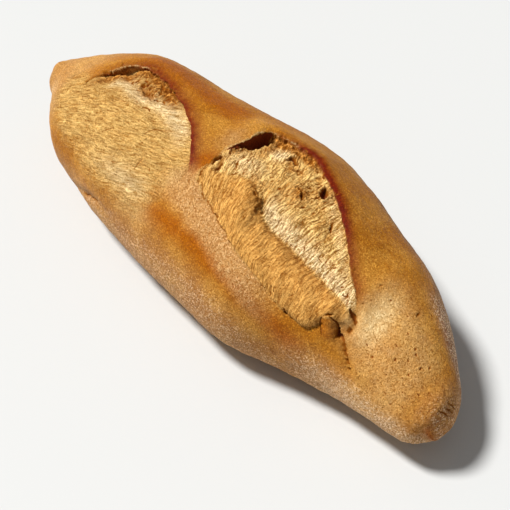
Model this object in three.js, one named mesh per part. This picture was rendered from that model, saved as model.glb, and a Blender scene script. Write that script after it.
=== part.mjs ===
// A rye loaf, baked free-standing, with two opened slashes along its top.
//
// The crust is a loft of ribs along X. Every point of it has a place on a chart:
// x along the loaf, and g, the way round it from the crest, positive to +Y.
// The slashes, creases and dimples are drawn on that chart as curves in mm, and
// lift or sink the crust along its normal. Millimetres, +Z up.

import * as THREE from 'three';

// ---- Driving sizes, mm ----

const LENGTH = 300.5; // knob to round tip
const KNOB_X = -153; // end face of the squared knob
const TIP_X = KNOB_X + LENGTH;
const KNOB_CAP = { length: 6, power: 2.8, rings: 4 }; // how an end closes, as a superellipse
const TIP_CAP = { length: 10, power: 2.3, rings: 5 };

// One rib a row: x, centre y, half width, crest z, sole z. A sole below 0 is cut flat at 0.
const RIBS = [
  [-153, -1.5, 9, 39, 20],
  [-147, -0.5, 11.5, 42, 19],
  [-141, 1.5, 17, 45, 19],
  [-134, 2.5, 24, 48.5, 16],
  [-124, 3, 32.5, 53, 11],
  [-108, 4, 42, 60, 3],
  [-84, 2.5, 45.5, 68, -3],
  [-55, 0, 48.5, 73, -4],
  [8, 1.5, 55, 76, -4],
  [38, 0, 53.5, 74, -4],
  [66, 0, 44.5, 69, -3],
  [92, 0, 37.5, 62, -1],
  [113, -4, 30, 52, 4],
  [132, -9.5, 21.5, 41, 8],
  [147.5, -14, 13, 31, 11],
];
const WIDEST = 0.4; // height of the widest line, as a share of a rib's height
const UPPER_POWER = 2.1; // superellipse powers of a rib, 2 being an ellipse
const LOWER_POWER = 2.5;

// Long slash: the free edge of its lip, from the knob end to the bridge of crust.
const LONG_LIP = [
  [-112, -15], [-107, -8], [-101, 0], [-95, 5.5], [-86, 8], [-72, 7], [-58, 4.8],
  [-46, 1.2], [-35, -4], [-26, -10.5], [-18, -20],
];

// A slash: its crust rises to a crest behind the free edge, and the crumb drops below it.
// Over the stretch in `meets` the crumb climbs up to the edge again, by the share given.
const LONG_SLASH = {
  rise: 2.4, crest: 6, roll: 11, drop: 2.7, shallower: 0.2, ledge: 5, fade: 26, overhang: 1.2, tuck: 1.2,
  opens: 0.1, closes: 0.12, meets: { from: 0.24, to: 0.44, share: 0.85, slope: 7 },
};

// Short slash: its lip starts at the bridge, climbs round the hole and runs to the junction.
const SHORT_LIP = [
  [-9, -8], [-8.6, -2], [-7.4, 3], [-6.4, 8], [-6.4, 14], [-3.8, 18.6], [2, 20.6], [10, 22.6], [20, 24],
  [28, 22.4], [40, 17.4], [50, 12.2], [63, 4.2], [77, -6], [89, -14],
];
const SHORT_SLASH = {
  rise: 2, crest: 4, roll: 9, drop: 4.4, shallower: 0.7, ledge: 3, fade: 60, overhang: 1.3, tuck: 1.2,
  opens: 0.26, closes: 0.12, meets: { from: 0.28, to: 0.5, share: 0.75, slope: 5 },
};
const SHORT_FOOT = { from: -44, run: 18 }; // where the short slash dies out down the near side
const HOLE = { from: 0.12, to: 0.34, depth: 4, width: 6 }; // torn gap behind the short lip
const LONG_TEAR = { from: 0.1, to: 0.42, depth: 1, width: 5 };
const TEAR_ENDS = { opens: 0.2, closes: 0.25 }; // shares of a tear over which it opens and closes
const LIP_REACH = 6; // the sideways slide of a lip dies out over this distance
const TUCK_FROM = 3; // the tuck below a lip starts to die out here

// Rolled band of crumb in the short slash, a ridge between two creases.
const UPPER_CREASE = [
  [-6, -17], [2, -14.5], [12, -9.5], [20, -9.5], [26, -15], [33, -19], [52, -19],
  [76, -20], [92, -21],
];
const LOWER_CREASE = [
  [-10, -24], [0, -29.5], [12, -33.5], [28, -38.5], [46, -41.5], [62, -43.5], [78, -41.5],
  [84, -34], [92, -31],
];
const BAND = {
  from: -8, to: 90, opens: 12, closes: 8, pit: 16, formed: 8, start: 0.12,
  crease: 5.2, foot: 1.2, height: 5.4, step: 5, sink: 14,
  shallowFrom: 50, shallowRun: 40, shallower: 0.45, // its crease grows shallower over this run
  lowUntil: 6, lowRun: 20, low: 0.3, roundness: 0.7, // and the band starts low
};
const SHORT_CRUMB = { from: -12, to: 94, fade: 6 }; // opened crumb of the short slash, along x

// Grooves: a curve, how deep and how wide it is.
const GROOVES = [
  { path: [[88, -12], [94, -20], [95, -26], [91, -30], [97, -33], [104, -38]], depth: 2.6, width: 2.6 },
  { path: [[-90, -82], [-79, -76], [-70, -72.5], [-61, -71], [-50, -73]], depth: 1.6, width: 3 },
  { path: [[-7, -5], [-6, -11], [-2, -17]], depth: 1.8, width: 2.2 },
];

const GROOVE_ENDS = 0.35; // share of its depth that a groove keeps at its ends

// Rounded swellings and dimples: centre on the chart, half lengths, height.
const MOUNDS = [
  { at: [102, -14], half: [11, 18], height: -2.2 }, // pale dimple past the junction
  { at: [87, -33], half: [4.5, 4.5], height: 1.6 }, // blister at the junction
  { at: [-70, -26], half: [48, 20], height: 1.4 }, // bloom of the long slash
  { at: [-13, -22], half: [9, 8], height: 0.8 }, // bridge of crust between the slashes
  { at: [10, -58], half: [70, 14], height: 0.7 },
];
const MOUND_REACH = 1.4; // foot of a swelling, in half lengths
const BLOOM = { at: [-71, -24], half: [58, 36], core: 0.8, fade: 0.3 }; // opened crumb of the long slash
const LUMPS = { height: 0.55, waves: [[0.061, 0.043, 0.4], [0.027, 0.083, 2.1], [0.103, -0.058, 4.4]] };
const CRAGS = { height: 0.8, waves: [[0.16, 0.58, 1.1], [-0.11, 0.44, 3.2], [0.42, 0.27, 5.0]] };
const SOLE_CLEAR = 10; // relief dies out over this height above the sole
const END_CLEAR = 6; // and over this length at both ends

// Facets: columns along the loaf, and rows round it between these chart angles, in degrees.
const COLUMNS = 76;
const TOP_RUN = { from: -64, to: 38, rows: 30 }; // the opened top
const ROW_RUNS = [
  { to: -148, rows: 2 }, // near half of the flat sole
  { to: -92, rows: 5 },
  { to: TOP_RUN.from, rows: 5 },
  TOP_RUN,
  { to: 92, rows: 9 },
  { to: 148, rows: 5 },
  { to: 180, rows: 2 },
];
const EDGE = 0.2; // points this near a lip are on its free edge
const SNAP_ENDS = 0.04; // no point is pulled onto this first and last share of an edge

const CRUST = { color: 0xb9793a, roughness: 0.72, metalness: 0 };

// ---- Curves ----

const clamp01 = (t) => Math.min(1, Math.max(0, t));
const ease = (t) => clamp01(t) ** 2 * (3 - 2 * clamp01(t));

// Catmull-Rom through rows of any length, with `steps` samples a span.
function smoothRows(rows, steps) {
  const last = rows.length - 1;
  const mirror = (end, inner) => end.map((value, k) => 2 * value - inner[k]);
  const padded = [mirror(rows[0], rows[1]), ...rows, mirror(rows[last], rows[last - 1])];
  const samples = [];
  for (let span = 0; span < last; span += 1) {
    for (let step = 0; step < steps; step += 1) {
      samples.push(catmullRom(padded, span, step / steps));
    }
  }
  samples.push([...rows[last]]);
  return samples;
}

function catmullRom(padded, span, t) {
  const [a, b, c, d] = padded.slice(span, span + 4);
  return b.map((value, k) => {
    const pull = c[k] - a[k];
    const bend = 2 * a[k] - 5 * value + 4 * c[k] - d[k];
    const twist = 3 * (value - c[k]) + d[k] - a[k];
    return 0.5 * (2 * value + pull * t + bend * t * t + twist * t * t * t);
  });
}

// Nearest point of a sampled curve: its place, the share of the way along, and the
// signed distance, positive on the left of the curve's direction and on its very edge.
function nearest(curve, x, g) {
  let best = { distance: Infinity };
  for (let k = 0; k < curve.length - 1; k += 1) {
    const [ax, ag] = curve[k];
    const [dx, dg] = [curve[k + 1][0] - ax, curve[k + 1][1] - ag];
    const t = clamp01(((x - ax) * dx + (g - ag) * dg) / (dx * dx + dg * dg));
    const [px, pg] = [ax + dx * t, ag + dg * t];
    const distance = Math.hypot(x - px, g - pg);
    if (distance < best.distance) {
      const size = Math.hypot(dx, dg);
      const side = distance < EDGE ? 1 : Math.sign(dx * (g - ag) - dg * (x - ax));
      best = {
        distance, signed: side * distance, at: [px, pg],
        along: (k + t) / (curve.length - 1), toCrust: [-dg / size, dx / size],
      };
    }
  }
  return best;
}

// The chart height g of a curve that runs along x, at one x.
function heightOn(curve, x) {
  const after = curve.findIndex((point) => point[0] > x);
  if (after === 0) return curve[0][1];
  if (after < 0) return curve[curve.length - 1][1];
  const [[ax, ag], [bx, bg]] = [curve[after - 1], curve[after]];
  return ag + (bg - ag) * (x - ax) / (bx - ax);
}

const ribSamples = smoothRows(RIBS, 12);
const longLip = smoothRows(LONG_LIP, 8);
const shortLip = smoothRows(SHORT_LIP, 8);
const upperCrease = smoothRows(UPPER_CREASE, 6);
const lowerCrease = smoothRows(LOWER_CREASE, 6);
const grooves = GROOVES.map((groove) => ({ ...groove, curve: smoothRows(groove.path, 6) }));

// ---- Smooth crust ----

// Share of a rib's size left at a gap from the loaf's end, and the gap that leaves a share.
const capShare = (cap, gap) => (1 - (1 - clamp01(gap / cap.length)) ** cap.power) ** (1 / cap.power);
const capGap = (cap, share) => cap.length * (1 - (1 - share ** cap.power) ** (1 / cap.power));
const capAt = (x) => capShare(KNOB_CAP, x - KNOB_X) * capShare(TIP_CAP, TIP_X - x);

function ribAt(x) {
  const after = Math.max(1, ribSamples.findIndex((rib) => rib[0] >= x));
  const [low, high] = [ribSamples[after - 1], ribSamples[after]];
  const t = clamp01((x - low[0]) / (high[0] - low[0]));
  const [, y, half, crest, sole] = low.map((value, k) => value + (high[k] - value) * t);
  const middle = sole + WIDEST * (crest - sole);
  const cap = capAt(x);
  return { y, middle, half: half * cap, up: (crest - middle) * cap, down: (middle - sole) * cap };
}

// Point of the smooth crust at x and the angle round from the crest.
function crustPoint(x, angle) {
  const rib = ribAt(x);
  const [across, rise] = [Math.sin(angle), Math.cos(angle)];
  const power = 2 / (rise >= 0 ? UPPER_POWER : LOWER_POWER);
  const y = rib.y + rib.half * Math.sign(across) * Math.abs(across) ** power;
  const reach = rise >= 0 ? rib.up : rib.down;
  const z = rib.middle + reach * Math.sign(rise) * Math.abs(rise) ** power;
  return new THREE.Vector3(x, y, Math.max(z, 0));
}

function crustNormal(x, angle) {
  const [dx, da] = [0.6, 0.02];
  const inside = Math.min(TIP_X - dx, Math.max(KNOB_X + dx, x));
  const along = crustPoint(inside + dx, angle).sub(crustPoint(inside - dx, angle));
  const round = crustPoint(inside, angle + da).sub(crustPoint(inside, angle - da));
  return along.cross(round).normalize();
}

// ---- Relief on the chart ----

// Lip of a slash: the crust rises to its free edge, drops behind it, and the opened
// crumb climbs back to the crust's level. Past its two ends the slash closes.
function slashRelief(curve, slash, x, g) {
  const { signed, along, distance } = nearest(curve, x, g);
  const open = openShare(slash, along);
  if (signed >= 0) {
    const roll = signed > slash.crest ? slash.roll : slash.crest;
    return slash.rise * open * Math.exp(-(((signed - slash.crest) / roll) ** 2));
  }
  const climb = ease((distance - slash.ledge) / slash.fade);
  const { from, to, share, slope } = slash.meets;
  const met = share * ease((along - from) / (to - from)) * Math.exp(-((distance / slope) ** 2));
  return -slash.drop * depthShare(slash, along) * open * (1 - climb) * (1 - met);
}

// How far a slash is open: it closes over the first and last stretch of its lip.
const openShare = (slash, along) => ease(along / slash.opens) * ease((1 - along) / slash.closes);

// A slash grows shallower along its lip.
const depthShare = (slash, along) => 1 - slash.shallower * along;

// A torn gap below a stretch of a lip.
function tearRelief(curve, tear, x, g) {
  const { signed, along } = nearest(curve, x, g);
  if (signed >= 0) return 0;
  const stretch = (along - tear.from) / (tear.to - tear.from);
  const depth = tear.depth * ease(stretch / TEAR_ENDS.opens) * ease((1 - stretch) / TEAR_ENDS.closes);
  return -depth * (1 - ease(-signed / tear.width));
}

// The crumb sinks to the upper crease, and the rolled band stands between the creases.
function bandRelief(x, g) {
  const fade = ease((x - BAND.from) / BAND.opens) * ease((BAND.to - x) / BAND.closes);
  const [upper, lower] = [heightOn(upperCrease, x), heightOn(lowerCrease, x)];
  const formed = BAND.start + (1 - BAND.start) * ease((x - BAND.pit) / BAND.formed);
  const shallow = 1 - BAND.shallower * ease((x - BAND.shallowFrom) / BAND.shallowRun);
  const crease = BAND.crease * formed * shallow;
  const tall = BAND.height * (BAND.low + (1 - BAND.low) * ease((x - BAND.lowUntil) / BAND.lowRun));
  if (g > upper) return -crease * fade * Math.exp(-((g - upper) / BAND.sink));
  if (g < lower) return -BAND.foot * fade * Math.exp(-((lower - g) / BAND.step));
  const across = (upper - g) / (upper - lower);
  const floor = -crease * (1 - across) - BAND.foot * across;
  return fade * (floor + tall * Math.sin(Math.PI * across) ** BAND.roundness);
}

function grooveRelief(groove, x, g) {
  const { distance, along } = nearest(groove.curve, x, g);
  const share = GROOVE_ENDS + (1 - GROOVE_ENDS) * Math.sin(Math.PI * along);
  return -groove.depth * share * Math.exp(-((distance / groove.width) ** 2));
}

function moundRelief(mound, x, g) {
  const away = Math.hypot((x - mound.at[0]) / mound.half[0], (g - mound.at[1]) / mound.half[1]);
  return mound.height * (1 - ease(away / MOUND_REACH));
}

function waveSum({ height, waves }, x, g) {
  const sum = waves.reduce((total, [kx, kg, phase]) => total + Math.sin(kx * x + kg * g + phase), 0);
  return height * sum / waves.length;
}

// The share of short-slash crumb at a chart point: inside its lip and above the band's foot.
function inShortSlash(x, g) {
  const { signed } = nearest(shortLip, x, g);
  if (signed >= 0 || g <= heightOn(lowerCrease, x)) return 0;
  return ease((x - SHORT_CRUMB.from) / SHORT_CRUMB.fade) * ease((SHORT_CRUMB.to - x) / SHORT_CRUMB.fade);
}

function inLongSlash(x, g) {
  const { signed } = nearest(longLip, x, g);
  const away = Math.hypot((x - BLOOM.at[0]) / BLOOM.half[0], (g - BLOOM.at[1]) / BLOOM.half[1]);
  return signed < 0 ? 1 - ease((away - BLOOM.core) / BLOOM.fade) : 0;
}

function relief(x, g) {
  const short = slashRelief(shortLip, SHORT_SLASH, x, g) * ease((g - SHORT_FOOT.from) / SHORT_FOOT.run);
  const long = slashRelief(longLip, LONG_SLASH, x, g);
  const tears = tearRelief(longLip, LONG_TEAR, x, g) + tearRelief(shortLip, HOLE, x, g);
  const crumb = Math.max(inShortSlash(x, g), inLongSlash(x, g));
  const marks = grooves.reduce((total, groove) => total + grooveRelief(groove, x, g), 0)
    + MOUNDS.reduce((total, mound) => total + moundRelief(mound, x, g), 0);
  return short + long + tears + bandRelief(x, g) + marks
    + waveSum(LUMPS, x, g) + crumb * waveSum(CRAGS, x, g);
}

// Near a lip the crust's free edge slides out over the slash, and the foot of the wall
// tucks in behind it.
function slide(curve, slash, x, g) {
  const { signed, along, distance, toCrust } = nearest(curve, x, g);
  const over = signed >= 0 ? -slash.overhang * (1 - ease(distance / LIP_REACH)) : 0;
  const under = signed < 0 ? slash.tuck * (1 - ease((distance - TUCK_FROM) / LIP_REACH)) : 0;
  const share = openShare(slash, along) * depthShare(slash, along);
  return toCrust.map((value) => value * share * (over + under));
}

// ---- Facets ----

// Columns stand evenly along the loaf and close up where its ends round off.
function columnStations() {
  const ringGap = (cap, k) => capGap(cap, Math.sin(Math.PI / 2 * (k + 1) / cap.rings));
  const ringGaps = (cap) => Array.from({ length: cap.rings }, (_, k) => ringGap(cap, k));
  const [first, final] = [KNOB_X + KNOB_CAP.length, TIP_X - TIP_CAP.length];
  const between = Array.from({ length: COLUMNS - 1 }, (_, k) => first + (final - first) * (k + 1) / COLUMNS);
  return [
    ...ringGaps(KNOB_CAP).map((gap) => KNOB_X + gap),
    ...between,
    ...ringGaps(TIP_CAP).reverse().map((gap) => TIP_X - gap),
  ];
}

function rowAngles() {
  const angles = [];
  let from = -180;
  for (const { to, rows } of ROW_RUNS) {
    for (let k = 0; k < rows; k += 1) angles.push(from + (to - from) * k / rows);
    from = to;
  }
  return angles.map((angle) => THREE.MathUtils.degToRad(angle));
}

// A chart point less than half a facet from a lip or crease is pulled onto it, so that
// the edge stays sharp.
function snapped(x, g) {
  const columnGap = (TIP_X - TIP_CAP.length - KNOB_X - KNOB_CAP.length) / COLUMNS;
  const rowGap = ribAt(x).half * THREE.MathUtils.degToRad((TOP_RUN.to - TOP_RUN.from) / TOP_RUN.rows);
  for (const curve of [longLip, shortLip, upperCrease, lowerCrease]) {
    const { distance, at, along, toCrust } = nearest(curve, x, g);
    const reach = Math.max(Math.abs(toCrust[0]) * columnGap, Math.abs(toCrust[1]) * rowGap) / 2;
    if (distance < reach && along > SNAP_ENDS && along < 1 - SNAP_ENDS) return at;
  }
  return [x, g];
}

function loafPoint(x, angle) {
  const { half } = ribAt(x);
  const chartScale = Math.max(half, 1);
  const smooth = crustPoint(x, angle);
  const ends = ease((x - KNOB_X) / END_CLEAR) * ease((TIP_X - x) / END_CLEAR);
  const calm = ends * ease(smooth.z / SOLE_CLEAR);
  if (calm === 0) return smooth;
  const [sx, sg] = snapped(x, angle * chartScale);
  const [lx, lg] = slide(longLip, LONG_SLASH, sx, sg);
  const [hx, hg] = slide(shortLip, SHORT_SLASH, sx, sg);
  const [px, pg] = [sx + lx + hx, sg + lg + hg];
  const around = pg / Math.max(ribAt(px).half, 1);
  const lifted = crustNormal(px, around).multiplyScalar(relief(sx, sg) * calm);
  const point = crustPoint(px, around).add(lifted);
  point.z = Math.max(point.z, 0);
  return point;
}

// One closed skin: a point at each end of the loaf and rings of rows between them.
function loafGeometry() {
  const stations = columnStations();
  const angles = rowAngles();
  const points = [crustPoint(KNOB_X, 0), crustPoint(TIP_X, 0)];
  for (const x of stations) {
    for (const angle of angles) points.push(loafPoint(x, angle));
  }
  const rows = angles.length;
  const at = (column, row) => 2 + column * rows + (row % rows);
  const last = stations.length - 1;
  const faces = [];
  for (let row = 0; row < rows; row += 1) {
    faces.push(0, at(0, row), at(0, row + 1));
    faces.push(1, at(last, row + 1), at(last, row));
    for (let column = 0; column < last; column += 1) {
      const quad = [at(column, row), at(column + 1, row), at(column + 1, row + 1), at(column, row + 1)];
      faces.push(...splitQuad(points, quad));
    }
  }
  const geometry = new THREE.BufferGeometry();
  const places = points.flatMap(({ x, y, z }) => [x, y, z]);
  geometry.setAttribute('position', new THREE.Float32BufferAttribute(places, 3));
  geometry.setIndex(faces);
  return geometry;
}

// A quad is split along its shorter diagonal.
function splitQuad(points, [a, b, c, d]) {
  const across = points[a].distanceTo(points[c]) < points[b].distanceTo(points[d]);
  return across ? [a, b, c, a, c, d] : [a, b, d, b, c, d];
}

// Origin at the middle of the loaf's box, on the surface that it lies on.
function setOnOrigin(geometry) {
  geometry.computeBoundingBox();
  const { min, max } = geometry.boundingBox;
  geometry.translate(-(min.x + max.x) / 2, -(min.y + max.y) / 2, -min.z);
  geometry.computeVertexNormals();
  return geometry;
}

const bread = new THREE.Group();
const loaf = new THREE.Mesh(setOnOrigin(loafGeometry()), new THREE.MeshStandardMaterial(CRUST));
loaf.name = 'loaf';
bread.add(loaf);

export default bread;
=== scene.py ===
"""Rye loaf with two opened slashes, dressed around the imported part.

The loaf is one skin, laid out on a chart: x along the loaf, and g, the way round it
from the crest, positive to +Y, both in mm. Ribs give the smooth crust. Curves and
marks drawn on the chart lift and sink it into lips, torn crumb, a rolled band, cracks
and pits, and tell the finish where each of them shows.
"""

import math

import bpy
import numpy as np
from bpy.props import FloatProperty, FloatVectorProperty, IntProperty, PointerProperty
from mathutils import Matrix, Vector


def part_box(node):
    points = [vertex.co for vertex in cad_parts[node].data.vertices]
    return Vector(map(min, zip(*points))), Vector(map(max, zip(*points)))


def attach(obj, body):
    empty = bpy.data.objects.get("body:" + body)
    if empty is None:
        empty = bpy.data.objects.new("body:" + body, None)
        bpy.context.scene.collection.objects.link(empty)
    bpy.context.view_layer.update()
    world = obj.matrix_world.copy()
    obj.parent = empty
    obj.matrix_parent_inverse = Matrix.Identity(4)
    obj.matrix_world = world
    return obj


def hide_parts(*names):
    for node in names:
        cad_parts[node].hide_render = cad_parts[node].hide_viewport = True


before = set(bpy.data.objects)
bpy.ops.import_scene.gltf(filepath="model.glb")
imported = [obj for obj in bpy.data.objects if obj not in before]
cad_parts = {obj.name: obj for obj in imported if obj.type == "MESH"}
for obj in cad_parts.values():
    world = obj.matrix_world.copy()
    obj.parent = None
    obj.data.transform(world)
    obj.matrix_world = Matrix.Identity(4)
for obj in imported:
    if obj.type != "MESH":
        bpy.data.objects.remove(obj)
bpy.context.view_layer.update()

bl_info = {
    "name": "Rye loaf",
    "version": (1, 0, 0),
    "blender": (4, 5, 0),
    "location": "3D View > Sidebar > Rye loaf",
    "description": "Builds a slashed rye loaf, its crust and crumb, and the studio that shows it",
    "category": "Add Mesh",
}

MM = 0.001
LOAF_LOW, LOAF_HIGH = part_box("loaf")

# ---- Smooth crust, the same sizes as the solid's, mm ----

LENGTH = (LOAF_HIGH.x - LOAF_LOW.x) / MM
KNOB_X = -153.0
TIP_X = KNOB_X + LENGTH
KNOB_CAP = {"length": 6.0, "power": 2.8, "rings": 9}
TIP_CAP = {"length": 10.0, "power": 2.3, "rings": 14}

# One rib a row: x, centre y, half width, crest z, sole z. A sole below 0 is cut flat at 0.
RIBS = (
    (-153, -1.5, 9, 39, 20),
    (-147, -0.5, 11.5, 42, 19),
    (-141, 1.5, 17, 45, 19),
    (-134, 2.5, 24, 48.5, 16),
    (-124, 3, 32.5, 53, 11),
    (-108, 4, 42, 60, 3),
    (-84, 2.5, 45.5, 68, -3),
    (-55, 0, 48.5, 73, -4),
    (8, 1.5, 55, 76, -4),
    (38, 0, 53.5, 74, -4),
    (66, 0, 44.5, 69, -3),
    (92, 0, 37.5, 62, -1),
    (113, -4, 30, 52, 4),
    (132, -9.5, 21.5, 41, 8),
    (147.5, -14, 13, 31, 11),
)
WIDEST = 0.4  # height of the widest line, as a share of a rib's height
UPPER_POWER = 2.1  # superellipse powers of a rib, 2 being an ellipse
LOWER_POWER = 2.5

# ---- Slashes, mm on the chart ----

LONG_LIP = (
    (-112, -15), (-107, -8), (-101, 0), (-95, 5.5), (-86, 8), (-72, 7), (-58, 4.8),
    (-46, 1.2), (-35, -4), (-26, -10.5), (-18, -20),
)
LONG_SLASH = {
    "rise": 2.4, "crest": 6.0, "roll": 11.0, "drop": 2.7, "shallower": 0.2,
    "ledge": 5.0, "fade": 26.0, "overhang": 1.2, "tuck": 1.2,
    "opens": 0.24, "closes": 0.12, "meets": (0.24, 0.44, 0.85), "slope": 7.0,
}
SHORT_LIP = (
    (-9, -8), (-8.6, -2), (-7.4, 3), (-6.4, 8), (-6.4, 14), (-3.8, 18.6), (2, 20.6), (10, 22.6),
    (20, 24), (28, 22.4), (40, 17.4), (50, 12.2), (63, 4.2), (77, -6), (89, -14),
)
SHORT_SLASH = {
    "rise": 2.0, "crest": 4.0, "roll": 9.0, "drop": 4.4, "shallower": 0.7,
    "ledge": 3.0, "fade": 60.0, "overhang": 1.3, "tuck": 1.2,
    "opens": 0.26, "closes": 0.12, "meets": (0.28, 0.5, 0.75), "slope": 5.0,
}
SHORT_FOOT = {"from": -44.0, "run": 18.0}
SLASHES = {"long": LONG_SLASH, "short": SHORT_SLASH}
WALL = 0.9  # how far a lip's wall spreads on the chart
TORN_WALL = 3.0
TEARS = (  # torn gap below a stretch of a lip, given as shares of the lip
    {"lip": "long", "from": 0.1, "to": 0.42, "depth": 1.0, "width": 5.0},
    {"lip": "short", "from": 0.12, "to": 0.34, "depth": 1.5, "width": 6.0},
)
TEAR_OPENS, TEAR_CLOSES = 0.2, 0.25  # shares of a tear over which it deepens and runs out
SLIDE = {"reach": 6.0, "foot": 3.0}  # how far from a lip its edge slides, and its wall's foot
UPPER_CREASE = (
    (-6, -17), (2, -14.5), (12, -9.8), (19, -10.2), (26.5, -14.6), (34, -18.6), (52, -19),
    (76, -20), (92, -21),
)
LOWER_CREASE = (
    (-10, -24), (0, -29.5), (12, -33.5), (28, -38.5), (46, -41.5), (62, -43.5), (78, -41.5),
    (84, -34), (92, -31),
)
BAND = {
    "from": -8.0, "to": 90.0, "opens": 12.0, "closes": 8.0, "pit": 14.0, "formed": 24.0,
    "start": 0.14, "crease": 4.9, "foot": 1.2, "height": 5.4, "step": 5.0, "sink": 14.0,
    "shallow_from": 50.0, "shallow_run": 40.0, "shallower": 0.45,
    "low_until": 6.0, "low_run": 20.0, "low": 0.3, "roundness": 0.7,
}
MOUNDS = (  # swellings and dimples: centre, half lengths, height
    ((102, -14), (11, 18), -2.2),
    ((87, -33), (5, 5), 2.4),
    ((-70, -26), (48, 20), 1.4),
    ((-13, -22), (9, 8), 0.8),
    ((10, -58), (70, 14), 0.7),
    ((142, -4), (6, 9), 1.2),
    ((-150, -2.5), (2.5, 3.5), 1.8),
)
MOUND_FOOT = 1.4  # where a swelling runs out, in half lengths
LUMPS = (0.55, ((0.061, 0.043, 0.4), (0.027, 0.083, 2.1), (0.103, -0.058, 4.4)))
CRAGS = (0.8, ((0.16, 0.58, 1.1), (-0.11, 0.44, 3.2), (0.42, 0.27, 5.0)))
SOLE_CLEAR = 10.0  # relief dies out over this height above the sole

# ---- Fine relief, drawn on the chart, mm ----

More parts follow.
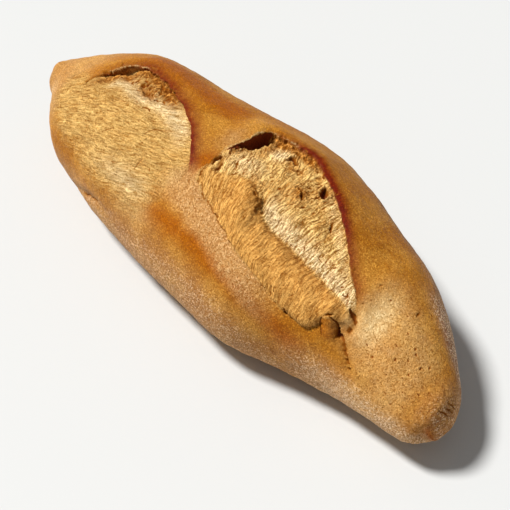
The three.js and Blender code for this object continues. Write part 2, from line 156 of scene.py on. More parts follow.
GROOVES = (  # soft furrows: a path, half width, depth
    (((88, -12), (94, -20), (95, -26), (91, -30), (97, -33), (104, -38)), 2.6, 2.2),
    (((-90, -82), (-79, -76), (-70, -72.5), (-61, -71), (-50, -73)), 3.0, 1.6),
    (((-7, -5), (-6, -11), (-2, -17)), 2.2, 1.2),
    (((139.5, -38), (142.4, -30), (144.4, -22), (145.6, -14), (146, -9)), 2.0, 7.0),
)
CRACKS = (  # a path, half width, depth
    # long slash: nicks below the lip, and thin cracks of the bloom
    (((-107.2, -6.5), (-105.3, -7)), 0.6, 0.9),
    (((-102.6, 4), (-102.4, 1)), 0.8, 1.6),
    (((-97, -7), (-95, -7)), 0.5, 0.7),
    (((-85, 10), (-82.5, 10.4), (-80, 9.6)), 0.6, 0.9),
    (((-82.6, 8), (-81.4, 7.4)), 0.6, 0.9),
    (((-92.6, 9.3), (-91.4, 8.6)), 0.6, 0.9),
    (((-90, 6), (-88.5, 4.8)), 0.7, 1.0),
    (((-79.4, 4.6), (-78.8, 3.4)), 0.6, 1.0),
    (((-77.2, 6.4), (-76.4, 5.6)), 0.6, 0.8),
    (((-65.6, -2), (-64.4, -2.8)), 0.5, 0.8),
    (((-57, 1.4), (-54.5, 0.8), (-51.5, 0.2)), 0.6, 0.8),
    (((-119.6, -10.6), (-118.2, -11.4)), 0.5, 0.6),
    (((-115.2, -33), (-114.6, -34.6)), 0.7, 0.8),
    (((-104, -25), (-101, -23.6), (-97.8, -22.2)), 0.5, 0.5),
    (((-77, -14.9), (-74.6, -14.3)), 0.5, 0.5),
    (((-64.6, -11), (-63, -9.7), (-60, -9)), 0.5, 0.7),
    (((-55, -13.5), (-52.6, -12.9), (-51, -12)), 0.45, 0.5),
    (((-50, -22), (-48.6, -18.6), (-46.4, -16.4), (-43.6, -14.4), (-40, -12.5), (-37.4, -12.2)), 0.45, 0.5),
    (((-72, -34), (-69.6, -31.2), (-67, -28.8)), 0.45, 0.5),
    (((-46.8, -25.6), (-46, -26.4)), 0.45, 0.6),
    (((-33, -34.6), (-31.8, -35.6)), 0.55, 0.8),
    (((-25.8, -17.8), (-25, -17.2)), 0.5, 0.6),
    (((-40.9, -39.4), (-40.6, -36), (-39.8, -33)), 0.5, 0.6),
    # short slash: tears of the crumb, and nicks below the lip
    (((38, 18), (38.6, 18.4)), 0.6, 0.8),
    (((46.6, 7.4), (46.8, 5.8)), 0.6, 0.7),
    (((9.4, 9.6), (10.4, 8.8)), 0.6, 0.8),
    (((7.2, 9.2), (8.6, 8.6)), 0.5, 0.6),
    (((16.4, 8.2), (17.8, 8)), 0.5, 0.6),
    (((27.4, 20.4), (28.8, 19)), 0.6, 0.9),
    (((31, 22), (32.8, 20)), 0.7, 1.0),
    (((0, 22.8), (0.4, 20.8)), 0.6, 1.1),
    (((5.2, 23), (6.2, 22.2)), 0.6, 1.0),
    (((7.4, 23.8), (8.8, 24.6)), 0.6, 1.0),
    (((10.2, 22.2), (12, 21.8)), 0.6, 0.9),
    (((13.4, 24.8), (15.2, 25)), 0.6, 0.9),
    (((22.6, 23.8), (24.6, 23.2)), 0.6, 0.8),
    (((0.5, 3), (2.5, -1), (4.3, -4)), 0.45, 0.9),
    (((3.8, -0.4), (4.9, -1.6)), 0.45, 0.7),
    (((-1, -5), (1.8, -7.6), (4.1, -8)), 0.45, 0.8),
    (((4, -9.8), (4.3, -12), (4, -14.6)), 0.45, 0.6),
    (((5.7, -5.8), (6.6, -8), (7.8, -9.4), (6.3, -10.8)), 0.45, 0.7),
    (((11.3, -2), (12.3, -5), (12.1, -8)), 0.4, 0.5),
    (((20.2, -1), (20.7, -3.4)), 0.45, 0.5),
    (((34.9, -2.8), (36.6, -1)), 0.45, 0.5),
    (((55.4, -3), (56.4, -7.4)), 0.4, 0.5),
    (((61.8, -9), (63.2, -12), (66, -13)), 0.45, 0.5),
    (((49.4, -17.2), (50.8, -17.2)), 0.5, 0.8),
    # rolled band: the pit at its start, its foot, and the torn flakes and the dome at its end
    (((19.4, -12.4), (20.6, -13.2), (22.4, -13.8)), 0.8, 1.0),
    (((82.6, -31), (83.4, -35), (86, -38.2)), 0.6, 1.0),
    (((85, -28.4), (88.4, -27.8), (91.4, -30), (92, -34)), 0.6, 1.0),
    (((-6, -24), (-2.6, -27.6), (-0.6, -29.2), (5, -31.4)), 0.5, 0.65),
    (((3, -30.6), (12, -33.4), (20, -35.8), (30, -38.8)), 0.5, 0.6),
    (((49.6, -41.2), (52, -42.6), (54, -42)), 0.5, 0.7),
    (((56.8, -41), (58.4, -43.4)), 0.5, 0.6),
    (((66.2, -41.6), (66.8, -43.6), (68, -43.4)), 0.7, 1.1),
    (((70, -43.6), (71.4, -44)), 0.6, 0.8),
    (((83.4, -29.6), (85.8, -26.4)), 0.5, 0.8),
    (((66.8, -33), (66, -36)), 0.4, 0.5),
    (((71.8, -19.6), (73, -20.8)), 0.5, 0.7),
    # junction and the near end
    (((84, -15), (85, -16.6), (83, -18)), 0.6, 0.8),
    (((80, -15.6), (81.4, -14)), 0.5, 0.7),
    (((86.6, -17), (88, -20)), 0.5, 0.7),
    (((92.4, 0), (91.4, -2.4)), 0.35, 0.4),
    (((109.4, 9), (110.4, 6)), 0.5, 0.6),
    # wrinkles of the tip, and the crease low on the far side of the long slash
    (((142.6, -3.5), (145.6, 1.5)), 0.42, 0.6),
    (((142.6, 0), (145.3, 5)), 0.42, 0.6),
    (((142.4, 3.5), (144.8, 8.5)), 0.42, 0.6),
    (((-93, -81.5), (-87, -83), (-82, -84)), 0.7, 1.0),
    (((-79, -76.5), (-70, -73), (-60, -70.5)), 0.5, 0.7),
)
OPENINGS = (  # torn openings: places and half widths along each, depth, how dark their painted shade is
    # long slash
    (((-111.2, -17.5, 0.3), (-110.9, -14, 0.9), (-110.2, -11.5, 0.9), (-109.2, -9, 0.3)), 2.2, 0.9),
    (((-108.6, -6, 0.5), (-106.2, -5.2, 1.0), (-104.2, -4.5, 0.5)), 1.6, 0.8),
    (((-103.8, -3, 0.6), (-101, -0.8, 1.4), (-96, 1.4, 2.1), (-91.6, 2.2, 1.6), (-88, 2, 0.7)), 1.2, 0.2),
    (((-79, -0.6, 1.5), (-74, -1.6, 2.9), (-69, -2.8, 2.7), (-65, -4.6, 1.0)), 1.8, 0.3),
    (((-70.5, 4.6, 0.6), (-67.5, 3, 1.0), (-65.2, 1, 0.5)), 1.3, 0.7),
    (((-121.6, -25, 0.25), (-119.6, -22, 0.45), (-117.6, -19, 0.3)), 0.8, 0.7),
    (((-122, -3, 0.4), (-120.4, -0.8, 0.8)), 1.0, 0.7),
    # far end of the bridge, and the black opening under the short slash's lip
    (((-8.6, -23, 0.4), (-8.1, -20.5, 0.5), (-7.5, -18.4, 0.4)), 0.9, 0.7),
    (((-8.2, -14.6, 0.3), (-8.6, -11.6, 0.8), (-8, -9, 0.6)), 1.8, 0.9),
    (((-3.4, -16.6, 0.3), (-4.5, -13.6, 0.7), (-5, -11, 0.5)), 1.4, 0.8),
    (((-5.8, -6, 0.3), (-7, -3.4, 0.6), (-6.6, -0.8, 0.7), (-5.6, 2, 0.8), (-4.2, 5.5, 1.4),
      (-3.4, 9, 2.6), (-3.3, 13, 3.2), (-2.6, 16.2, 2.1), (0, 18, 0.8)), 5.5, 1.0),
    # cavities of the short slash
    (((13, 13.2, 0.6), (14.6, 16.6, 1.3), (17.8, 14.8, 0.6)), 2.2, 0.9),
    (((18.4, 10.8, 0.5), (21, 12.2, 1.1), (24.2, 13.2, 0.5)), 2.0, 0.9),
    (((37.2, 16, 0.8), (39.6, 13.4, 2.0), (41.8, 10.2, 0.8)), 3.6, 1.0),
    (((29.2, 4, 0.4), (30.4, 5.4, 1.0), (31.6, 4.4, 0.4)), 1.5, 0.8),
    (((33.4, 5.2, 0.4), (35, 3.6, 1.1), (36.8, 1.8, 0.4)), 1.7, 0.8),
    (((54.8, 4.2, 0.4), (56, 2.4, 0.8), (57.4, 0.4, 0.4)), 1.3, 0.7),
    # the junction
    (((90.5, -19.5, 0.6), (93, -20, 1.3), (95.6, -22.4, 0.7), (94.6, -27, 0.5)), 1.5, 0.7),
    (((90.6, -29.2, 0.7), (92, -31.6, 1.5), (94, -30, 0.6)), 1.9, 0.9),
    (((95, -31.2, 0.6), (97.2, -33.6, 1.0), (100, -35, 0.5), (103.6, -38, 0.3)), 1.3, 0.8),
    (((94.4, -7, 0.25), (92.8, -10, 0.5), (91.4, -12.8, 0.3)), 0.7, 0.45),
)
PITS = (  # places of the pits over the near end, half width
    (117.5, -12.5, 1.0), (120, -1.5, 0.9), (121.8, -2.2, 0.9), (127, -3, 1.1), (125.5, -9.5, 0.8),
    (133.5, -9, 0.9), (129, 1, 0.8), (109.5, -22.5, 0.9), (114, -9, 0.8), (121.5, -7, 0.6),
    (124.5, -13, 0.6), (131.5, -19.5, 0.8), (122.5, -25, 0.6), (126.5, -25.5, 0.6), (113.5, -1.5, 0.6),
    (112.5, 15, 0.9), (104.5, -22, 0.7), (118.5, -20, 0.5), (136, -4, 0.6), (128, -16, 0.5), (108, 2, 0.5),
    (116, 6, 0.5), (124, 6, 0.5), (99, -1, 0.5), (103, 8, 0.5),
)
DASHES = (
    # scattered in the crumb: corners of a patch, how many, length, half width, depth, lean in
    # degrees, how dark the shade painted into them is
    ((-118, -46), (-32, -10), 110, 1.5, 0.32, 0.35, 14, 0.45),
    ((-4, -14), (80, 18), 80, 1.7, 0.36, 0.6, 96, 0.7),
    ((0, -40), (86, -19), 120, 1.2, 0.32, 0.35, 84, 0.5),
    ((-88, -5), (-58, 7), 70, 2.0, 0.6, 1.0, 40, 0.8),
    ((22, -3), (46, 16), 22, 2.2, 0.5, 1.0, 60, 0.75),
)

# ---- Colour zones, mm on the chart ----

BLOOM_EDGE = (
    (-128, -22), (-120, -34), (-113, -41), (-102, -47), (-90, -50), (-70, -55), (-50, -57),
    (-36, -57), (-28, -53), (-25, -43), (-24, -37), (-20, -28), (-17, -21),
)
CREAM_LINE = (
    (-97, -8), (-87, -5), (-76, -7), (-64, -5), (-52, -4.5), (-42, -7), (-34, -10), (-28, -15),
)
FIBRES = {  # they run along the long slash, and turn to run across the short one
    "turn_from": -16.0, "turn_run": 3.0, "slant": 0.25, "lean": 0.37, "lean_from": 10.0, "lean_run": 35.0,
}

# Stretches along the loaf: from, to, softness of the ends
RAGGED = {"long": (-110, -52, 12), "short": (-11, 26, 12)}
TORN_WALLS = {"long": (-86, -58, 8), "short": (5, 30, 6)}
STRANDS = {"long": (-110, -62, 10), "short": (-12, 28, 8)}
TORN = {  # torn crumb below a lip: how far down it is whole, how softly it ends, and its stretch
    "long": (3.5, 3.4, (-106, -51, 12)), "short": (3.0, 2.2, (-5, 27, 8)),
}
RIMS = {  # thin pale rim of a lip: how far above the lip, and its stretch
    "long": (0.8, (-106, -86, 8)), "short": (0.75, (-12, 10, 6)),
}
RIM_HALF = 0.5

# Browned strips above the lips: their width, and how strong they are at places along the loaf
SCORCHED = {
    "long": (7.5, ((-108, 0.2), (-92, 0.8), (-70, 1), (-52, 0.9), (-38, 0.9), (-24, 1.1), (-14, 1))),
    "short": (7.0, ((-8, 0), (2, 0.5), (18, 1.3), (34, 1.2), (55, 1.2), (72, 0.8), (88, 0.6), (94, 0))),
}
RUSTED = {
    "long": (13.0, ((-108, 0), (-90, 0.5), (-30, 0.7), (-12, 0.3))),
    "short": (9.0, ((0, 0), (14, 0.7), (80, 0.6), (94, 0))),
}
UNDERCUT = ((0.05, 0.16, 0.24, 0.32, 0.37), (0.1, 0.6, 1.8, 1.3, -0.9))  # of the short lip, how far down its opening is painted dark as shade: shares, reach

# Soft oval patches: centre, half lengths, strength
DOME = (87, -33)
# the floor at (24, -15) is torn brown painted as shade where the band starts to roll
FLOORS = (
    ((-93.5, -1), (8, 3.6), 1), ((-72, -2), (8, 4.4), 1), ((33, 4), (7, 5.5), 0.9),
    ((40, 13), (4, 5), 0.8), ((2, 11), (3, 7), 0.7), ((18, 13), (6, 3), 0.6),
    ((92, -25), (4.5, 7), 0.35), ((20, -7), (6, 3), 0.5), ((24, -15), (5, 4), 0.25),
    ((-39.5, -34), (3, 2.4), 0.5), ((-22, -44), (3, 5), 0.45),
)
CREAM_LUMPS = (((8.5, 13), (4.5, 4.5), 1), ((4, -4), (9, 7), 0.6))
# Painted shading: patches painted darker as shade, and lighter as light where the strength is below 0
PAINTED_SHADING = (
    ((-88, -16), (16, 6), 0.9), ((8, -20), (9, 6), 0.9), ((31, -6), (7, 5), -1.2),
    ((23, -14.5), (4, 3), 0.7), ((8, -24), (14, 5), 0.9), ((92, -58), (20, 9), -0.7),
)
TOASTED = (((-12, -17), (5, 6), 1.9), ((145.5, -12), (1.8, 2.5), 1.5))
PALE = (
    ((101, -12), (8, 15), 1.2), ((91, -24), (5, 8), 0.6), ((-20, -31), (7, 8), 0.7),
    ((-12, 2), (5, 8), 0.35), ((-30, -57), (16, 8), 0.55), ((-126, -31), (10, 11), 0.5),
)

# Places that fade in: where along the loaf and over what run, the same round it, strength.
# A run below 0 fades in the other way.
PALE_KNOB = ((-112, -16), (-34, 10), 0.35)
DUSKY = (((96, 20), (12, 12), 1), ((136, 8), (-14, 8), 0.45))
FLOURED_KNOB = ((-128, -10), (-14, -10), 0.5)

# ---- Skin: columns along the loaf and rows round it, in runs of even cells ----

COLUMN_RUNS = ((-128, 12), (109, 168), (TIP_X - TIP_CAP["length"], 18))
ROW_RUNS = ((-148, 6), (-92, 20), (-64, 16), (38, 71), (92, 24), (148, 13), (180, 6))
FINE_MARGIN = 1.0  # how far round a crack or a pit the cells are split, mm
LIP_MARGIN = 3.0
CRUMBY, MARKED = 0.06, 0.05  # share of crumb, and painted shade of a mark, above which a cell is split


# ---- Curves ----


def ease(t):
    t = np.clip(t, 0.0, 1.0)
    return t * t * (3 - 2 * t)


def smooth_rows(rows, steps):
    """Catmull-Rom through rows of any length, with `steps` samples a span."""
    rows = np.array(rows, float)
    padded = np.vstack([2 * rows[:1] - rows[1:2], rows, 2 * rows[-1:] - rows[-2:-1]])
    t = (np.arange(steps) / steps)[:, None]
    spans = []
    for a, b, c, d in zip(padded, padded[1:], padded[2:], padded[3:]):
        pull = c - a
        bend = 2 * a - 5 * b + 4 * c - d
        twist = 3 * (b - c) + d - a
        spans.append(0.5 * (2 * b + pull * t + bend * t**2 + twist * t**3))
    return np.vstack([*spans, rows[-1:]])


def nearest(curve, x, g):
    """Distance to a sampled curve, signed + on its left, share of the way along, and way to its left."""
    best = np.full(x.shape, np.inf)
    signed, along, left_x, left_g = (np.zeros(x.shape) for _ in range(4))
    steps = np.diff(curve, axis=0)
    for k, ((ax, ag), (dx, dg)) in enumerate(zip(curve, steps)):
        size = math.hypot(dx, dg)
        t = np.clip(((x - ax) * dx + (g - ag) * dg) / size**2, 0, 1)
        away = np.hypot(x - ax - dx * t, g - ag - dg * t)
        closer = away < best
        side = np.where(dx * (g - ag) - dg * (x - ax) < 0, -1, 1)
        best = np.where(closer, away, best)
        signed = np.where(closer, side * away, signed)
        along = np.where(closer, (k + t) / len(steps), along)
        left_x = np.where(closer, -dg / size, left_x)
        left_g = np.where(closer, dx / size, left_g)
    return {"distance": best, "signed": signed, "along": along, "left": (left_x, left_g)}


def height_on(curve, x):
    """The chart height g of a curve that runs along x."""
    return np.interp(x, curve[:, 0], curve[:, 1])


# ---- Noise ----


class Grain:
    """Seeded gradient noise in numpy."""

    TABLE = 256
    CUT = 0.37

    def __init__(self, seed):
        draw = np.random.default_rng(seed)
        self.order = draw.permutation(self.TABLE)
        ways = draw.normal(size=(self.TABLE, 3))
        self.ways = ways / np.linalg.norm(ways, axis=1, keepdims=True)

    def corner(self, cell, offset):
        index = np.zeros(cell.shape[:-1], int)
        for axis in range(3):
            index = self.order[(cell[..., axis] + offset[axis] + index) % self.TABLE]
        return self.ways[index]

    def at(self, points):
        """Noise of points whose unit is one lump, about -0.7 to 0.7."""
        cell = np.floor(points).astype(int)
        inside = points - cell
        blend = inside**3 * (inside * (inside * 6 - 15) + 10)
        total = np.zeros(points.shape[:-1])
        for offset in np.ndindex(2, 2, 2):
            corner = np.array(offset)
            weight = np.prod(np.where(corner, blend, 1 - blend), axis=-1)
            total += weight * np.sum(self.corner(cell, offset) * (inside - corner), axis=-1)
        return total

    def on(self, u, v, size_u, size_v, layer=0.0):
        """Noise of a chart whose lumps are size_u by size_v, cut between two layers of the lattice."""
        return self.at(np.stack([u / size_u, v / size_v, np.full(u.shape, layer + self.CUT)], axis=-1))


def terrace(noise, steps):
    """Noise cut into layers with soft risers, as torn crumb is."""
    level = noise * steps
    floor = np.floor(level)
    return (floor + ease((level - floor - 0.5) * 2)) / steps


# ---- Smooth crust ----

ribs = smooth_rows(RIBS, 40)
long_lip = smooth_rows(LONG_LIP, 8)
short_lip = smooth_rows(SHORT_LIP, 8)
upper_crease = smooth_rows(UPPER_CREASE, 6)
lower_crease = smooth_rows(LOWER_CREASE, 6)
bloom_edge = smooth_rows(BLOOM_EDGE, 5)
cream_line = smooth_rows(CREAM_LINE, 5)
LIPS = {"long": long_lip, "short": short_lip}


def cap_share(cap, gap):
    """Share of a rib's size left at a gap from the loaf's end."""
    return (1 - (1 - np.clip(gap / cap["length"], 0, 1)) ** cap["power"]) ** (1 / cap["power"])


def cap_gap(cap, share):
    return cap["length"] * (1 - (1 - share ** cap["power"]) ** (1 / cap["power"]))


def rib_at(x):
    """Centre y, middle z, half width, and reach up and down of the crust at x."""
    y, half, crest, sole = (np.interp(x, ribs[:, 0], ribs[:, k]) for k in range(1, 5))
    middle = sole + WIDEST * (crest - sole)
    cap = cap_share(KNOB_CAP, x - KNOB_X) * cap_share(TIP_CAP, TIP_X - x)
    return y, middle, half * cap, (crest - middle) * cap, (middle - sole) * cap


def crust_point(x, angle):
    """Points of the smooth crust at x and the angle round from the crest."""
    y, middle, half, up, down = rib_at(x)
    across, rise = np.sin(angle), np.cos(angle)
    power = 2 / np.where(rise >= 0, UPPER_POWER, LOWER_POWER)
    out = y + half * np.sign(across) * np.abs(across) ** power
    z = middle + np.where(rise >= 0, up, down) * np.sign(rise) * np.abs(rise) ** power
    return np.stack([x, out, np.maximum(z, 0)], axis=-1)


def crust_normal(x, angle):
    dx, da = 0.6, 0.02  # steps either way, mm and radians
    inside = np.clip(x, KNOB_X + dx, TIP_X - dx)
    along = crust_point(inside + dx, angle) - crust_point(inside - dx, angle)
    around = crust_point(inside, angle + da) - crust_point(inside, angle - da)
    out = np.cross(along, around)
    return out / np.linalg.norm(out, axis=-1, keepdims=True)


# ---- Broad relief, as the solid has it ----


def open_share(slash, along):
    """A slash closes over the first and last stretch of its lip."""
    return ease(along / slash["opens"]) * ease((1 - along) / slash["closes"])


def depth_share(slash, along):
    return 1 - slash["shallower"] * along


def crust_share(near):
    """1 on the crust side of a lip and 0 below it, over a steep wall that is wider where it is torn."""
    return ease(near["signed"] / near["wall"] + 0.5)


def slash_relief(near, slash):
    """The crust rises to its free edge, drops behind it, and the crumb climbs back."""
    signed, along = near["signed"], near["along"]
    roll = np.where(signed > slash["crest"], slash["roll"], slash["crest"])
    rise = slash["rise"] * np.exp(-(((signed - slash["crest"]) / roll) ** 2))
    climb = ease((near["distance"] - slash["ledge"]) / slash["fade"])
    drop = -slash["drop"] * depth_share(slash, along) * (1 - climb)
    start, end, share = slash["meets"]
    meets = share * ease((along - start) / (end - start))
    drop = drop * (1 - meets * np.exp(-((near["distance"] / slash["slope"]) ** 2)))
    crust = crust_share(near)
    return open_share(slash, along) * (crust * rise + (1 - crust) * drop)


def tear_relief(near, tear):
    stretch = (near["along"] - tear["from"]) / (tear["to"] - tear["from"])
    depth = tear["depth"] * ease(stretch / TEAR_OPENS) * ease((1 - stretch) / TEAR_CLOSES)
    return -depth * (1 - ease(-near["signed"] / tear["width"])) * (1 - crust_share(near))


def band_relief(x, g):
    """The crumb sinks to the upper crease, and the rolled band stands between the creases."""
    fade = ease((x - BAND["from"]) / BAND["opens"]) * ease((BAND["to"] - x) / BAND["closes"])
    upper, lower = height_on(upper_crease, x), height_on(lower_crease, x)
    formed = BAND["start"] + (1 - BAND["start"]) * ease((x - BAND["pit"]) / BAND["formed"])
    shallow = 1 - BAND["shallower"] * ease((x - BAND["shallow_from"]) / BAND["shallow_run"])
    crease = BAND["crease"] * formed * shallow
    raised = BAND["low"] + (1 - BAND["low"]) * ease((x - BAND["low_until"]) / BAND["low_run"])
    above = -crease * np.exp(-np.clip(g - upper, 0, None) / BAND["sink"])
    below = -BAND["foot"] * np.exp(-np.clip(lower - g, 0, None) / BAND["step"])
    across = np.clip((upper - g) / (upper - lower), 0, 1)
    floor = -crease * (1 - across) - BAND["foot"] * across
    ridge = floor + BAND["height"] * raised * np.sin(math.pi * across) ** BAND["roundness"]
    return fade * np.where(g > upper, above, np.where(g < lower, below, ridge))


def mound_relief(x, g):
    total = np.zeros(x.shape)
    for (cx, cg), (half_x, half_g), height in MOUNDS:
        away = np.hypot((x - cx) / half_x, (g - cg) / half_g)
        total += height * (1 - ease(away / MOUND_FOOT))
    return total


def wave_sum(waves, x, g):
    height, terms = waves
    return height / len(terms) * sum(np.sin(kx * x + kg * g + phase) for kx, kg, phase in terms)


def slide(near, slash):
    """The crust's free edge slides out over the slash, and the wall's foot tucks in behind it."""
    over = -slash["overhang"] * (1 - ease(near["distance"] / SLIDE["reach"]))
    under = slash["tuck"] * (1 - ease((near["distance"] - SLIDE["foot"]) / SLIDE["reach"]))
    crust = crust_share(near)
    share = open_share(slash, near["along"]) * depth_share(slash, near["along"])
    way = share * (crust * over + (1 - crust) * under)
    return way * near["left"][0], way * near["left"][1]


# ---- Marks: cracks, openings and pits, each worked out only near itself ----


CRACK_ENDS, GROOVE_ENDS = 0.45, 0.35  # share of its size that a mark has left at its ends
# How dark the shade painted into each kind of mark is
GROOVE_DARK = 0.3
CRACK_DARK = (0.2, 0.6)  # painted shade of a crack with no depth, and more with each mm of it
PIT = {"half_length": 0.2, "depth": 0.7, "dark": 0.9}


def bell(value, half):
    return np.exp(-((value / half) ** 2))


def tapered(ends, along):
    return ends + (1 - ends) * np.sin(math.pi * along)


def pit_path(x, g, half_length):
    return (x - half_length, g), (x + half_length, g)


class Chart:
    """Places on the chart, with the relief drawn on them so far and the shade painted into their marks."""

    # in half widths of a mark
    REACH = 2.5  # how far round its path it is worked out
    WALL, WALL_RUN = 0.35, 0.75  # where its wall starts, and how far it runs
    RIM, RIM_HALF = 1.5, 0.5  # where its rim lies, and how wide it is
    RIM_HEIGHT = 0.14  # as a share of the depth
    RAGGED = 0.3  # how far an opening's edge wavers

    def __init__(self, x, g):
        self.x, self.g = x, g
        self.lift = np.zeros(x.shape)
        self.recess_shade = np.zeros(x.shape)

    def near(self, path, reach):
        """The places within reach of a path's box, and how they lie to the path."""
        low, high = path.min(axis=0) - reach, path.max(axis=0) + reach
        inside = (self.x > low[0]) & (self.x < high[0]) & (self.g > low[1]) & (self.g < high[1])
        part = np.nonzero(inside)
        return part, nearest(path, self.x[part], self.g[part])

    def sink(self, part, away, depth, dark):
        """Sinks a part where `away` is under 1, with a steep wall and a slightly raised rim, and paints shade
        into it as dark as `dark`.
        """
        inside = 1 - ease((away - self.WALL) / self.WALL_RUN)
        rim = bell(away - self.RIM, self.RIM_HALF)
        self.lift[part] -= depth * (inside - self.RIM_HEIGHT * rim)
        self.recess_shade[part] = np.maximum(self.recess_shade[part], dark * inside)

    def cut(self, path, width, depth, dark=1.0):
        """A crack of even half width that runs out at its ends."""
        part, near = self.near(np.array(path, float), width * self.REACH)
        taper = tapered(CRACK_ENDS, near["along"])
        self.sink(part, near["distance"] / (width * taper), depth * taper, dark)

    def open(self, path, depth, dark, ragged):
        """A torn opening with its own half width at each place of its path."""
        path = smooth_rows(path, 4)
        part, near = self.near(path[:, :2], path[:, 2].max() * self.REACH)
        width = np.interp(near["along"] * (len(path) - 1), np.arange(len(path)), path[:, 2])
        self.sink(part, near["distance"] / width + self.RAGGED * ragged[part], depth, dark)


# ---- Skin: its grid ----


def skin_angles():
    """Angles of the cells' rows round the loaf, in radians."""
    angles, start = [], -180.0
    for end, rows in ROW_RUNS:
        angles.extend(np.linspace(start, end, rows, endpoint=False))
        start = end
    return np.radians(angles)


def skin_stations():
    """Places of the cells' columns along the loaf, closer together where its ends round off."""
    knob_shares = np.sin(math.pi / 2 * np.arange(1, KNOB_CAP["rings"] + 1) / KNOB_CAP["rings"])
    tip_shares = np.sin(math.pi / 2 * np.arange(1, TIP_CAP["rings"] + 1) / TIP_CAP["rings"])
    stations = list(KNOB_X + cap_gap(KNOB_CAP, knob_shares))
    start = KNOB_X + KNOB_CAP["length"]
    for end, columns in COLUMN_RUNS:
        stations.extend(np.linspace(start, end, columns + 1)[1:])
        start = end
    return np.array(stations + list(TIP_X - cap_gap(TIP_CAP, tip_shares[::-1]))[1:])


class Grid:
    """Cells of the skin, column by column and row by row, some of them split into small ones."""

    SPLITS = 3

    def __init__(self, stations, angles, is_split):
        self.columns, self.rows = len(stations) - 1, len(angles)
        self.around = self.rows * self.SPLITS
        self.split = is_split
        self.used = np.zeros((self.columns * self.SPLITS + 1, self.around), bool)
        self.used[::self.SPLITS, ::self.SPLITS] = True
        column, row = np.nonzero(is_split)
        for a, b in np.ndindex(self.SPLITS + 1, self.SPLITS + 1):
            self.used[column * self.SPLITS + a, (row * self.SPLITS + b) % self.around] = True
        self.number = np.cumsum(self.used).reshape(self.used.shape) + 1  # after the points of the two ends
        place = np.arange(len(self.used)) / self.SPLITS
        turn = np.arange(self.around) / self.SPLITS
        column, row = np.nonzero(self.used)
        self.x = np.interp(place, np.arange(len(stations)), stations)[column]
        self.angle = np.interp(turn, np.arange(self.rows + 1), [*angles, angles[0] + 2 * math.pi])[row]

    def ring(self, column, row):
        """Points round a cell, with those that its split neighbours add to its sides."""
        size = self.SPLITS
        left, low = column * size, row * size
        places = [(left + s, low) for s in range(size)]
        places += [(left + size, low + s) for s in range(size)]
        places += [(left + size - s, low + size) for s in range(size)]
        places += [(left, low + size - s) for s in range(size)]
        return [int(self.number[a, b % self.around]) for a, b in places if self.used[a, b % self.around]]

    def faces(self):
        column, row = np.nonzero(self.split)
        small = []
        for a, b in np.ndindex(self.SPLITS, self.SPLITS):
            c, low = column * self.SPLITS + a, row * self.SPLITS + b
            high = (low + 1) % self.around
            corners = (c, low), (c + 1, low), (c + 1, high), (c, high)
            small.append(np.stack([self.number[corner] for corner in corners], axis=-1))
        whole = [self.ring(a, b) for a, b in zip(*np.nonzero(~self.split))]
        return np.concatenate(small).tolist() + whole + self.fan(0, 0) + self.fan(-1, 1)

    def fan(self, column, end):
        """Triangles from an end's point to the first or last ring of points."""
        ring = self.number[column][self.used[column]].tolist()
        pairs = list(zip(ring, ring[1:] + ring[:1]))
        return [(end, b, a) if end else (end, a, b) for a, b in pairs]


# ---- Skin: where things lie ----


def between(value, low, high, soft):
    """1 from low to high, with steps of width `soft` centred on them."""
    return ease((value - low) / soft + 0.5) * ease((high - value) / soft + 0.5)


def spot(x, g, centre, half):
    """A soft oval round a place."""
    return np.exp(-(((x - centre[0]) / half[0]) ** 2) - ((g - centre[1]) / half[1]) ** 2)


def patches(rows, x, g):
    """Soft ovals, each with its own strength."""
    return np.stack([strength * spot(x, g, centre, half) for centre, half, strength in rows])


def fading_in(row, x, g):
    (start_x, run_x), (start_g, run_g), strength = row
    return strength * ease((x - start_x) / run_x) * ease((g - start_g) / run_g)


